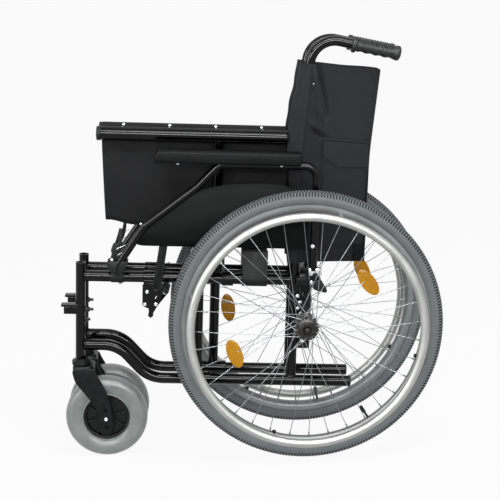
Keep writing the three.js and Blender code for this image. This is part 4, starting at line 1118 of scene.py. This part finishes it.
def caster_fork(side, sign):
    """The fork: two blades, a crown with its bearing collar, and the axle with its screws."""
    body, place = side + "_caster_swivel", upright_frame(sign)
    blade = [
        [-377, 214], [-377.2, 200], [-372, 180], [-357, 160], [-341.4, 138], [-329, 117], [-325.6, 104],
        [-325.4, 84], [-325.4, 67], [-319, 54.5], [-310, 51], [-300, 54.5], [-293.6, 67], [-293.4, 88],
        [-294.4, 111], [-300, 144], [-311, 174], [-323.6, 198], [-328.5, 214],
    ]
    bm = bmesh.new()
    smooth = eased(blade, 2)
    plate(bm, smooth, BLADE_IN + 0.4, BLADE_OUT, 2.0, 4)
    plate(bm, smooth, -BLADE_OUT, -BLADE_IN - 0.4, 2.0, 4)
    known = set(bm.verts)
    plate(bm, crown_outline(), 2 * caster.z + fork.crown_gap, fork.crown_top, 3.5, 4)
    bmesh.ops.transform(
        bm, matrix=Matrix.Rotation(math.pi / 2, 4, "X"), verts=[v for v in bm.verts if v not in known]
    )
    top = (post.low * math.cos(LEAN) - (post.u + post.radius) * math.sin(LEAN)) - GAP
    collar = [
        (10, 0), (21.4, 0), (22, 0.8), (22, 4.4), (21.2, 5.2), (20.4, 5.2), (20.2, 5.8), (20.4, 6.4),
        (21.2, 6.4), (21.8, 7.0), (21.6, 9.6), (20.4, 10.8), (15, 11.4), (14.6, 13), (10, 13),
    ]
    collar_at = Matrix.Translation((STEM_X + 1.5, 0, fork.crown_top - 0.4))
    lathe(bm, collar, 48, collar_at @ Matrix.Rotation(math.pi / 2, 4, "X"))
    rod(bm, (STEM_X, 0, top - 4), (STEM_X, 0, top + 24), fork.stem, 24)
    piece(bm, side + "_fork", place, "plate", body, "frame_paint", [side + "_caster_fork"])

    bm = bmesh.new()
    # Dark discs at the fork's holes: painted shade for their unlit insides
    for way in (1, -1):
        for step in (1, -1):
            at = Vector((caster.x, way * (BLADE_OUT - 0.4), caster.z + step * fork.hole_step))
            rod(bm, at - OUTWARD * way * 2, at + OUTWARD * way * 0.5, fork.hole, 24)
    piece(bm, side + "_fork_holes", place, "painted_hole_shade", body, "black_plastic")

    bm = bmesh.new()
    for way in (1, -1):
        at = Vector((caster.x, way * (BLADE_OUT - 0.2), caster.z))
        screw(bm, at, OUTWARD * way, 5.0, 4.4, 28)
    rod(bm, (caster.x, -BLADE_IN, caster.z), (caster.x, BLADE_IN, caster.z), fork.axle, 20)
    piece(bm, side + "_caster_axle", place, "zinc", body, "axle_steel")


# Armrest, skirt and their fittings


def armrest(side, sign):
    """The bent arm tube, its pad with base and screws, and the clothing guard below it."""
    body, place = side + "_arm", chair_frame(sign)
    corners = [
        (arm.foot_u, arm.out, arm.foot), (arm.foot_u, arm.out, arm.knee), (-232, arm.out, 522),
        (-118, arm.out, 612), (-71.5, arm.out, arm.under), (arm.rear_u, arm.out, arm.under),
        (arm.rear_u, arm.out, 430),
    ]
    bm = bmesh.new()
    sweep(bm, arc_path(corners, [14, 60, 46, 30, 26], math.radians(5)), arm.radius, 36, 0, 0.6)
    box(bm, (arm.rear_u - 8, arm.out - 5.6, 408.5), (arm.rear_u + 15, arm.out + 5.6, 436), 2.5)
    lug = arm.out - arm.radius + GAP
    plate(
        bm, [[-290, 435], [-280, 447], [-304, 447.5], [-310, 441], [-304, 434.5]], lug, lug + 6, 0.8
    )
    piece(bm, side + "_arm_frame", place, "paint", body, "frame_paint", [side + "_arm_tube"])

    low = arm.under + 2.6
    high = arm.under + pad.thick
    outline = [
        [pad.front + 7, low], [pad.front + 40, low], [pad.rear - 30, low], [pad.rear, low],
        [pad.rear, high], [pad.rear - 30, high], [pad.front + 60, high], [pad.front + pad.nose, high],
        [pad.front, low + 6],
    ]
    bm = bmesh.new()
    plate(bm, outline, arm.out - pad.half, arm.out + pad.half, 0)
    bmesh.ops.bevel(
        bm, geom=bm.edges[:], offset=pad.edge, segments=5, profile=0.5, affect="EDGES", material=-1,
        clamp_overlap=True,
    )
    for vert in bm.verts:
        if vert.co.z > low + pad.thick / 2 + 0.5:
            vert.co.z -= pad.crown * ((vert.co.y - arm.out) / pad.half) ** 2
    made = piece(bm, side + "_arm_cushion", place, "pad", body, "pad_skin", [side + "_arm_pad"], 30)

    bm = bmesh.new()
    box(bm, (pad.front + 18, arm.out - 13, low - 1.6), (pad.rear - 8, arm.out + 13, low + 0.8), 0.7)
    piece(bm, side + "_pad_base", place, "moulded", body, "black_plastic")
    bm = bmesh.new()
    for u in pad_screws:
        screw(bm, (u, arm.out + 17, low - 0.4), (0, 0, -1), 3.4, 2.4)
    for u, w in guard_screws:
        screw(bm, (u, arm.out + arm.radius - 1, w), OUTWARD, 4.6, 2.6)
    piece(bm, side + "_arm_screws", place, "zinc", body, "bracket_steel")

    outline = [
        [-246, 478], [-200, 478], [60, 478], [126, 478], [126.5, 484], [128, 560], [126, 586], [104, 602],
        [80, 617], [62, 621.5], [0, 622], [-60, 618], [-96, 609], [-128, 596], [-160, 578], [-205, 541],
        [-232, 516], [-250, 486],
    ]
    bm = bmesh.new()
    plate(bm, eased(outline, 2), arm.out - skirt.thick / 2, arm.out + skirt.thick / 2, 0.7)
    piece(bm, side + "_clothing_guard", place, "skirt", body, "black_plastic", [side + "_skirt_guard"])


def brackets(side, sign):
    """The drawn brackets with their edges rounded, the armrest's release lever and the nuts."""
    frame_body = side + "_frame"
    rows = [
        ("axle_plate", "axle_bracket", "plate", frame_body, "axle_steel", 0.7),
        ("arm_socket", "arm_bracket", "plate", frame_body, "bracket_steel", 1.0),
        ("seat_cradle", "rail_cradle", "moulded", frame_body, "black_plastic", 1.0),
        ("brake_lever", "brake_arm", "plate", side + "_brake", "frame_paint", 0.6),
    ]
    for node, name, material, body, slot, rounding in rows:
        refined(f"{side}_{node}", f"{side}_{name}", material, body, slot, rounding)

    place = chair_frame(sign)
    bm = bmesh.new()
    lever = [
        [141, 391], [141.5, 409], [160, 411], [164, 403], [174.5, 388], [171.5, 381], [163, 383.5],
        [150, 385.5],
    ]
    plate(bm, eased(lever, 2), 43.6, 48.6, 1.0)
    nodes = [side + "_arm_socket_lever"]
    piece(bm, side + "_arm_release", place, "moulded", side + "_socket_lever", "black_plastic", nodes)

    bm = bmesh.new()
    low = (pivot_block.front, arm.out - 6.5, pivot_block.low)
    high = (pivot_block.rear, arm.out + 7, pivot_block.high)
    box(bm, low, high, 1.6)
    piece(bm, side + "_arm_pivot_block", place, "zinc", side + "_arm", "bracket_steel")
    latch(side, sign)
    brake(side, sign)

    bm = bmesh.new()
    nut(bm, (socket_nut[0], 43, socket_nut[1]), OUTWARD, 5.2, 4.0)
    for u, w in plate_nuts:
        nut(bm, (u, 19, w), OUTWARD, 4.4, 4.0)
    piece(bm, side + "_bracket_nuts", place, "zinc", frame_body, "bracket_steel")


def latch(side, sign):
    """The armrest's front catch: a bell-shaped clamp on the tube, and the blade that turns in it."""
    place = chair_frame(sign)
    bell = [
        [-314, 439], [-311.5, 427], [-305, 419], [-294, 409.5], [-287, 407], [-280.5, 410], [-276, 424],
        [-268.5, 434], [-267, 440], [-272, 443], [-309, 443],
    ]
    bm = bmesh.new()
    plate(bm, eased(bell, 1), latch_clamp.inner, latch_clamp.outer, 1.5)
    ends = [(latch_clamp.front, 0, side_tube.upper), (latch_clamp.rear, 0, side_tube.upper)]
    sweep(bm, ends, latch_clamp.radius, 40, latch_clamp.wall, 0.4)
    nodes = [side + "_arm_latch"]
    piece(bm, side + "_latch_clamp", place, "moulded", side + "_frame", "black_plastic", nodes)
    bm = bmesh.new()
    screw(bm, (-286, 0, side_tube.upper - 14.6), (0, 0, -1), 4.2, 3.0)
    piece(bm, side + "_latch_screw", place, "zinc", side + "_frame", "bracket_steel")

    blade = [
        [-307.5, 443], [-305.5, 436.5], [-300, 435.5], [-292, 446], [-283, 468], [-279.3, 489], [-281.6, 511],
        [-284, 516], [-286.2, 511], [-287.2, 491], [-290.5, 480], [-296.4, 484.5], [-299, 472], [-302.5, 460],
    ]
    bm = bmesh.new()
    plate(bm, eased(blade, 1), latch_blade.inner, latch_blade.outer, 0.8)
    pivot = Vector((latch_blade.pivot_u, 0, latch_blade.pivot))
    rod(bm, pivot + OUTWARD * 34, pivot + OUTWARD * 43, latch_blade.pivot_radius, 28, 1.0)
    nodes = [side + "_arm_latch_lever"]
    piece(bm, side + "_latch_blade", place, "moulded", side + "_latch_lever", "black_plastic", nodes)

    bm = bmesh.new()
    screw(bm, (-302, 43, 446), OUTWARD, 3.6, 2.4)
    screw(bm, (-240, arm.out + 2.5, 527), OUTWARD, 2.8, 2.0)
    for low, high in (((-292, 43, 470), (-272, 43, 480)), ((-290, 43, 456), (-280, 43, 462))):
        rod(bm, low, high, 0.8, 10)
    piece(bm, side + "_latch_pins", place, "zinc", side + "_arm", "bracket_steel")


def brake(side, sign):
    """The brake's plate under the tube, with its screws, slot and hooked tip."""
    place = chair_frame(sign)
    inner = side_tube.radius + GAP
    face = inner + brake_clamp.plate
    outline = [
        [-235.6, 383], [-235.6, 337], [-229.5, 332.5], [-221.5, 329.5], [-221, 322], [-222.5, 313],
        [-217, 307.6], [-211, 312], [-210.5, 320], [-201.5, 336], [-177, 368], [-173.5, 383], [-174, 388],
        [-232, 388],
    ]
    # Each corner is given twice, so that only its tip is cut
    doubled = [p for p in outline for _ in (0, 1)]
    bm = bmesh.new()
    plate(bm, eased(doubled, 1), inner, face, 0.7)
    box(bm, (-233, inner - 6, 380), (-207, face - 0.3, side_tube.upper - 4), 1.2)
    ends = [(brake_clamp.front, 0, side_tube.upper), (brake_clamp.rear, 0, side_tube.upper)]
    sweep(bm, ends, brake_clamp.radius, 40, brake_clamp.wall, 0.5)
    at = Vector((brake_spacer.u, face, brake_spacer.w))
    rod(bm, at, at + OUTWARD * brake_spacer.height, brake_spacer.radius, 28, 1.2)
    nodes = [side + "_brake_plate"]
    piece(bm, side + "_brake_bracket", place, "paint", side + "_frame", "frame_paint", nodes)
    bm = bmesh.new()
    for u, w, stand in ((-225.3, 368.1, 0), (-185.5, 368.9, 5.4), (-229.9, 339.5, 0), (-205, 340, 0)):
        screw(bm, (u, face - 0.2 + stand, w), OUTWARD, 4.6, 3.0)
    box(bm, (-191, face - 0.8, 386), (-174, face + 0.9, 388.8), 0.3)
    rod(bm, (-206.4, face, 353.8), (-199.6, face, 365), 1.1, 12)
    piece(bm, side + "_brake_screws", place, "zinc", side + "_frame", "bracket_steel")


# Cloth


def cloth(columns, rows, shape, thick):
    """A grid whose shape gives each point's place and its place on the flat cloth."""
    bm = bmesh.new()
    bmesh.ops.create_grid(bm, x_segments=columns, y_segments=rows, size=0.5)
    flat = bm.loops.layers.uv.new("Flat")
    where = {}
    for vert in bm.verts:
        where[vert] = shape(vert.co.x + 0.5, vert.co.y + 0.5)
    for face in bm.faces:
        for loop in face.loops:
            loop[flat].uv = [length / 100 for length in where[loop.vert][1]]
    for vert, (place, _) in where.items():
        vert.co = place
    bmesh.ops.solidify(bm, geom=bm.faces[:], thickness=thick)
    return bm


def weave(u):
    """Where the seat's lowest fold runs across, so that it passes the two bars."""
    sway = seat_drop.sway
    if u < bar.left_u:
        return -sway * ease((u - bar.left_u + 55) / 45)
    if u < bar.right_u:
        return -sway + 2 * sway * ease((u - bar.left_u - 4) / (bar.right_u - bar.left_u - 8))
    return sway * (1 - ease((u - bar.right_u - 18) / 45))


def seat_cloth(side, sign):
    """One half of the seat: round the rail, then hanging to the fold along the middle."""
    wrap_length = seat.wrap * seat.wrap_turn
    whole_length = wrap_length + seat_drop.length

    def shape(s, t):
        u = seat.front + s * (seat.rear - seat.front)
        along = t * whole_length
        if along < wrap_length:
            angle = seat.wrap_from + along / seat.wrap
            out = RAIL_OUT + seat.wrap * math.cos(angle)
            w = fold.rail + seat.wrap * math.sin(angle)
            return Vector((u, out, w)), (u - seat.front, along)
        share = (along - wrap_length) / seat_drop.length
        low = seat_drop.hem - seat_drop.front_lower * ease((u - seat.front - 9) / 66)
        low -= seat_drop.rear_lower * ease((u - seat.front - 75) / 80)
        end_out = sign * weave(u) - HALF
        start_out = RAIL_OUT - seat.wrap
        w = fold.rail - (fold.rail - low) * share
        out = start_out + (end_out + seat_drop.curl - start_out) * share
        out -= seat_drop.curl * ease((share - 0.95) / 0.05)
        away = ease(share * 5) * ease((1 - share) * 4)
        clear = min(1.0, abs(u - BRACE_U) / 70)
        ripple = 1.6 * math.sin(u / 31 + share * 3) + 1.1 * math.sin(u / 13 - share * 5)
        belly = seat_drop.belly * math.sin(math.pi * share)
        out += away * clear * (ripple * 0.7 + belly)
        shift = 9 * share * (1 - ease((u - seat.front) / 60))
        return Vector((u + shift, out, w)), (u - seat.front, along)

    bm = cloth(110, 56, shape, seat.thick)
    place = chair_frame(sign)
    nodes = [side + "_seat_half"]
    name = side + "_seat_sling"
    # The sling takes the darker copy of the nylon, whose darkness is painted shade
    made = piece(bm, name, place, "seat_cloth", side + "_seat", "nylon", nodes, 60, tidy=False)


# The sling's loose sleeve: how far it stands before the cane, and where it joins the panel behind
# the cane, at heights above the sling's lower edge
REACHES = ((0, 19), (160, 19), (210, 22), (250, 27), (290, 31), (330, 29), (390, 24), (440, 20.5))
JOINS = ((0, 51), (290, 51), (340, 46), (440, 19))
# Folds of the panel: the line they run along, as distance behind the cane and height, width and depth
CREASES = (
    ((15, 444), (50, 330), 8, -9),
    ((36, 440), (62, 345), 11, 2.5),
    ((15, 362), (42, 326), 6, 6.5),
    ((6, 318), (54, 292), 6, 7.5),
    ((12, 306), (50, 284), 5, -8),
    ((10, 230), (46, 205), 7, 2.6),
    ((12, 120), (48, 150), 9, -2.6),
)
BACK_WAY = Vector((math.cos(back.tilt), -math.sin(back.tilt)))
BACK_NORMAL = Vector((math.sin(back.tilt), math.cos(back.tilt)))


def cane_at(w):
    """The cane's place and slope at a height. Its bend is spread, as the cloth on it can't crease."""
    share = min(max((w - cane.lean_from) / cane_spread + 0.5, 0.0), 1.0)
    past = max(w - cane.lean_from - cane_spread / 2, 0.0) + cane_spread * (share**3 - share**4 / 2)
    return cane.u + CANE_SLOPE * past, CANE_SLOPE * ease(share)


def back_point(across, out, high):
    """A point of the back: to the rear of the cane, outwards, and up along the cane."""
    u, slope = cane_at(back.low + high)
    length = math.hypot(1, slope)
    return Vector((u + across / length, out, back.low + high - across * slope / length))


def crease(across, high, first, last, width, depth):
    """How far a fold pushes the cloth: strong along the line from first to last."""
    line = Vector(last) - Vector(first)
    here = Vector((across, high)) - Vector(first)
    share = max(0.0, min(1.0, here.dot(line) / line.length_squared))
    off = (here - line * share).length / width
    return depth * math.exp(-off * off) * math.sin(math.pi * (0.15 + 0.7 * share))


def sleeve_folds(across, high):
    """The two soft ridges that run up the sleeve, one on each side of a groove."""
    ridges = math.exp(-(((across + 10) / 4) ** 2)) + math.exp(-(((across - 3) / 4) ** 2))
    return 2.3 * ridges * (0.8 + 0.2 * math.sin(high / 37))


def sleeve_side(share, high, way):
    """From the round of the sleeve, at share 0, to where it meets the panel, at share 1."""
    leave = Vector((math.cos(sleeve_leave), math.sin(sleeve_leave))) * back.loop
    join = BACK_WAY * read_off(JOINS, high) + Vector((0, 1.0))
    run = Vector((math.sin(sleeve_leave), -math.cos(sleeve_leave)))
    length = (join - leave).length
    place = leave * (1 - ease(share)) + join * ease(share)
    place += run * length * share * (1 - share) ** 2
    place -= BACK_WAY * length * share * share * (1 - share) * 0.8
    if way < 0:
        place = Vector((place.x, -place.y - 1.6 - 2 * math.sin(back.tilt) * place.x * share))
    return place


def panel_plan(along):
    """A point of the panel by its distance from the cane, round the fold and along the inner strip."""
    straight = back.outer - back.turn_long
    if along < straight:
        return BACK_WAY * along + Vector((0, 0.6)), BACK_NORMAL
    along -= straight
    corner = BACK_WAY * straight + Vector((0, 0.6))
    quarter = math.pi / 2 * math.sqrt((back.turn_long**2 + back.turn_deep**2) / 2)
    if along < quarter:
        angle = along / quarter * math.pi / 2
        place = corner + BACK_WAY * back.turn_long * math.sin(angle)
        place -= BACK_NORMAL * back.turn_deep * (1 - math.cos(angle))
        return place, (BACK_NORMAL * math.cos(angle) + BACK_WAY * math.sin(angle)).normalized()
    along -= quarter
    centre = corner + BACK_WAY * (back.turn_long - back.bend) - BACK_NORMAL * back.turn_deep
    tight = back.bend * (back.turn - math.pi / 2)
    angle = min(along / back.bend, back.turn - math.pi / 2)
    radial = BACK_WAY * math.cos(angle) - BACK_NORMAL * math.sin(angle)
    onward = -BACK_NORMAL * math.cos(angle) - BACK_WAY * math.sin(angle)
    place = centre + radial * back.bend + onward * max(along - tight, 0.0)
    return Vector((place.x, max(place.y, 0.9 - HALF))), radial


def panel_push(across, high):
    """How far the folds push a point of the panel. Its rear part hangs flat."""
    quiet = ease((back.outer - back.turn_long - across) / 30)
    push = sum(crease(across, high, *line) for line in CREASES) * quiet
    return push + quiet * 0.5 * math.sin(high / 47 + across / 19)


def back_sleeve(side, sign, height):
    """The loose sleeve round the cane, on no body, its place baked into its mesh."""

    def shape(s, t):
        high = t * height
        if s < sleeve.round_from:
            place = sleeve_side(1 - s / sleeve.round_from, high, -1)
        elif s < sleeve.round_to:
            share = (s - sleeve.round_from) / (sleeve.round_to - sleeve.round_from)
            angle = -sleeve_leave - share * sleeve_leave_arc
            normal = Vector((math.cos(angle), math.sin(angle)))
            wide = back.loop if normal.x > 0 else read_off(REACHES, high)
            place = Vector((normal.x * wide, normal.y * back.loop))
            loose = ease((s - 0.36) / 0.1) * ease((0.62 - s) / 0.1)
            ripple = math.sin(high / 23 + 2.2 * math.sin(high / 61)) + 0.5 * math.sin(high / 8.5 + s * 20)
            place += normal * 0.7 * loose * ripple
            place.y += sleeve_folds(place.x, high) * ease(normal.y)
        else:
            place = sleeve_side((s - sleeve.round_to) / (1 - sleeve.round_to), high, 1)
            place.y += panel_push(place.x, high) * ease((s - sleeve.round_to) / 0.15)
            place.y += sleeve_folds(place.x, high)
        if s > 0.985 or s < 0.015:
            place -= Vector((0, 0.6 if s > 0.5 else -0.6))
        rise = 3.0 * ease((14 + place.x) / -16) * ease((high - height + 30) / 30)
        return back_point(place.x, place.y, high + rise), (s * sleeve.width, high)

    bm = cloth(96, 96, shape, -sleeve.thick)
    area = sum(f.calc_area() for f in bm.faces) / 2 * MM * MM
    matrix = chair_frame(sign)
    nodes = [side + "_back_outer"]
    made = piece(bm, side + "_back_sleeve", matrix, "cloth", None, "nylon", nodes, 60, tidy=False)
    low, high = matrix @ Vector(sleeve.low), matrix @ Vector(sleeve.high)
    axis = (high - low).normalized()
    rear = (matrix.to_3x3() @ Vector((1, 0, 0))).normalized()
    rear = (rear - axis * rear.dot(axis)).normalized()
    begin, end = low - rear * sleeve.before * MM, low + rear * sleeve.after * MM
    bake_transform(made)
    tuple(begin)
    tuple(end)


def back_panel(side, sign, height):
    """The panel from the sleeve to the rear fold, and the strip inside it to the middle of the back."""
    last = back.outer + panel.hem + back.inner

    def shape(s, t):
        high = t * height
        begin = read_off(JOINS, high) - panel.overlap
        along = begin + s * (last - begin)
        place, normal = panel_plan(along)
        sunk = -1.5 * ease((begin + 9 - along) / 6)
        place = place + normal * (panel_push(place.x, high) + sunk)
        rise = 3.0 * ease((place.x - 70) / 70) * ease((high - height + 120) / 120)
        corner = -5.0 * ease((along - back.outer + 14) / 22) ** 2 * ease((high - height + 12) / 12)
        return back_point(place.x, place.y, high + rise + corner), (along, high)

    bm = cloth(130, 96, shape, -panel.thick)
    area = sum(f.calc_area() for f in bm.faces) / 2 * MM * MM
    matrix = chair_frame(sign)
    nodes = [side + "_back_inner"]
    made = piece(bm, side + "_back_panel", matrix, "cloth", None, "nylon", nodes, 60, tidy=False)
    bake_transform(made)


def on_panel(along, high, proud):
    """A point that stands proud of the panel."""
    place, normal = panel_plan(along)
    place = place + normal * (proud + panel_push(place.x, high))
    return back_point(place.x, place.y, high)


def back_pocket(side, sign):
    """The pocket on the panel, a little puffed, and its flap with one seam and a row of stitches."""
    matrix = chair_frame(sign)
    width = pocket.right - pocket.left

    def pocket_shape(s, t):
        along = pocket.left + s * width
        high = pocket.low + t * (pocket.high - pocket.low)
        edge = ease(s / 0.05) * ease((1 - s) / 0.05) * ease((1 - t) / 0.03)
        puff = 2.6 * (math.sin(math.pi * s) * math.sin(math.pi * min(1, t))) ** 0.6
        puff += 0.7 * math.sin(along / 17 + high / 23) * math.sin(math.pi * s) * math.sin(math.pi * t)
        return on_panel(along, high, pocket.proud + edge * (0.8 + puff)), (along, high)

    bm = cloth(60, 80, pocket_shape, -pocket.thick)
    name = side + "_back_pocket"
    made = piece(bm, name, matrix, "cloth", side + "_back", "nylon", (), 60, tidy=False)
    flap_width = width + 2 * flap.overlap

    def flap_shape(s, t):
        along = pocket.left - flap.overlap + s * flap_width
        low = flap.low + flap.point * max(0.0, 1 - (along - pocket.left) / 33)
        high = low + t * (flap.high - low)
        seam = 1 - 0.75 * math.exp(-(((high - flap.seam) / 1.6) ** 2))
        proud = 3.4 + 1.8 * (1 - t) + 1.4 * math.sin(math.pi * s) ** 0.5
        stitch = 0.5 * math.exp(-(((t - 0.08) / 0.025) ** 2)) * (1 if math.sin(along * 1.6) > -0.3 else 0)
        return on_panel(along, high, proud * seam - stitch), (along, high)

    bm = cloth(90, 60, flap_shape, -flap.thick)
    area = sum(f.calc_area() for f in bm.faces) / 2 * MM * MM
    name = side + "_pocket_flap"
    made = piece(bm, name, matrix, "cloth", side + "_back", "nylon", (), 60, tidy=False)


def back_cloth(side, sign):
    """One half of the back: the sleeve on the cane, the panel, its pocket and a stud."""
    height = back.top - back.low
    back_sleeve(side, sign, height)
    back_panel(side, sign, height)
    back_pocket(side, sign)
    bm = bmesh.new()
    at = back_point(back_stud.behind, back_stud.out, back_stud.high)
    screw(bm, at, OUTWARD, back_stud.radius, back_stud.height)
    piece(bm, side + "_back_stud", chair_frame(sign), "zinc", side + "_back", "bracket_steel")


for side, sign in SIDES:
    frame_tubes(side, sign)
    hand_grip(side, sign)
    rear_wheel(side, sign)
    caster_wheel(side, sign)
    caster_fork(side, sign)
    armrest(side, sign)
    brackets(side, sign)
    seat_cloth(side, sign)
    back_cloth(side, sign)
brace()

# Floor, lights and camera

WHITE = (1, 1, 1, 1)
MIDDLE = Vector((0, 0, 0.45))


def seen_directly(tree):
    """1 for what the camera sees, straight on or in a gloss, and 0 for what only gives light."""
    rays = add(tree, "LightPath").outputs
    seen = add(tree, "Math", {0: rays["Is Camera Ray"], 1: rays["Is Glossy Ray"]}, operation="MAXIMUM")
    inputs = {0: seen.outputs[0], 1: rays["Is Transmission Ray"]}
    return add(tree, "Math", inputs, operation="MAXIMUM").outputs[0]


def pale_floor():
    """A white floor that keeps the chair's shadow."""
    bm = bmesh.new()
    bmesh.ops.create_grid(bm, x_segments=1, y_segments=1, size=400)
    mesh = bpy.data.meshes.new("floor")
    bm.to_mesh(mesh)
    bm.free()
    floor = bpy.data.objects.new("floor", mesh)
    bpy.context.scene.collection.objects.link(floor)
    made, tree, shader, _ = start("Pale studio floor", Roughness=0.9, Base_Color=colour("#f4f4f4"))
    share = add(tree, "Math", {0: seen_directly(tree), 1: 0.93}, operation="MULTIPLY")
    white = add(tree, "Emission", {"Color": WHITE, "Strength": 1.0})
    mixed = add(tree, "MixShader", {0: share.outputs[0], 1: shader.outputs[0], 2: white.outputs[0]})
    tree.links.new(mixed.outputs[0], tree.nodes["Material Output"].inputs["Surface"])
    mesh.materials.append(made)


def white_world():
    """A world that looks white and gives less light than it shows."""
    world = bpy.data.worlds.new("studio")
    bpy.context.scene.world = world
    world.use_nodes = True
    tree = world.node_tree
    tree.nodes.clear()
    light = add(tree, "Background", {"Color": WHITE, "Strength": 0.3})
    shown = add(tree, "Background", {"Color": WHITE, "Strength": 1.0})
    mixed = add(tree, "MixShader", {0: seen_directly(tree), 1: light.outputs[0], 2: shown.outputs[0]})
    add(tree, "OutputWorld", {"Surface": mixed.outputs[0]})


def lamps():
    """Soft lamps for the colours, and narrow reflectors for the bright lines on the tubes."""
    rows = (
        ("overhead_softbox", (0.4, -1.2, 2.7), (1.5, 0.9), 24, True),
        ("rear_softbox", (2.3, -1.4, 1.5), (0.9, 0.9), 5, True),
        ("front_softbox", (-2.3, -1.8, 1.3), (0.5, 1.5), 9, True),
        ("back_strip", (0.0, 1.3, 2.5), (2.6, 0.5), 6, True),
        ("tube_reflector", (-0.1, -1.5, 2.45), (3.2, 0.22), 70, False),
        ("camera_reflector", (-0.1, -3.3, 1.6), (3.6, 0.4), 160, False),
        ("post_reflector", (-2.6, -1.3, 1.5), (0.2, 1.8), 60, False),
    )
    for name, spot, size, power, lights_all in rows:
        lamp = bpy.data.lights.new(name, "AREA")
        lamp.shape = "RECTANGLE"
        lamp.size, lamp.size_y = size
        lamp.energy = power
        made = bpy.data.objects.new(name, lamp)
        made.location = spot
        # A narrow reflector is seen only in the gloss of the tubes, and adds no light to the colours
        made.visible_diffuse = lights_all
        made.rotation_euler = (MIDDLE - made.location).to_track_quat("-Z", "Y").to_euler()
        bpy.context.scene.collection.objects.link(made)


def camera():
    """The photograph's camera: its place in millimetres, its turns, and its focal length in pixels."""
    view = Sizes(x=-77.98, y=-2837.45, z=1083.60, yaw=0.0304, pitch=0.2182, roll=-0.0355)
    picture = Sizes(focal=1283.3, side=500)
    level_ahead = Vector((math.sin(view.yaw), math.cos(view.yaw), 0))
    ahead = level_ahead * math.cos(view.pitch) - Vector((0, 0, math.sin(view.pitch)))
    level = Vector((math.cos(view.yaw), -math.sin(view.yaw), 0))
    above = level.cross(ahead)
    right = level * math.cos(view.roll) + above * math.sin(view.roll)
    up = above * math.cos(view.roll) - level * math.sin(view.roll)
    data = bpy.data.cameras.new("camera")
    data.sensor_width = 36
    data.lens = picture.focal / picture.side * data.sensor_width
    made = bpy.data.objects.new("camera", data)
    turn = Matrix((right, up, -ahead)).transposed().to_4x4()
    made.matrix_world = Matrix.Translation(Vector((view.x, view.y, view.z)) * MM) @ turn
    bpy.context.scene.collection.objects.link(made)
    bpy.context.scene.camera = made


pale_floor()
white_world()
lamps()
camera()
bpy.context.scene.view_settings.view_transform = "Standard"
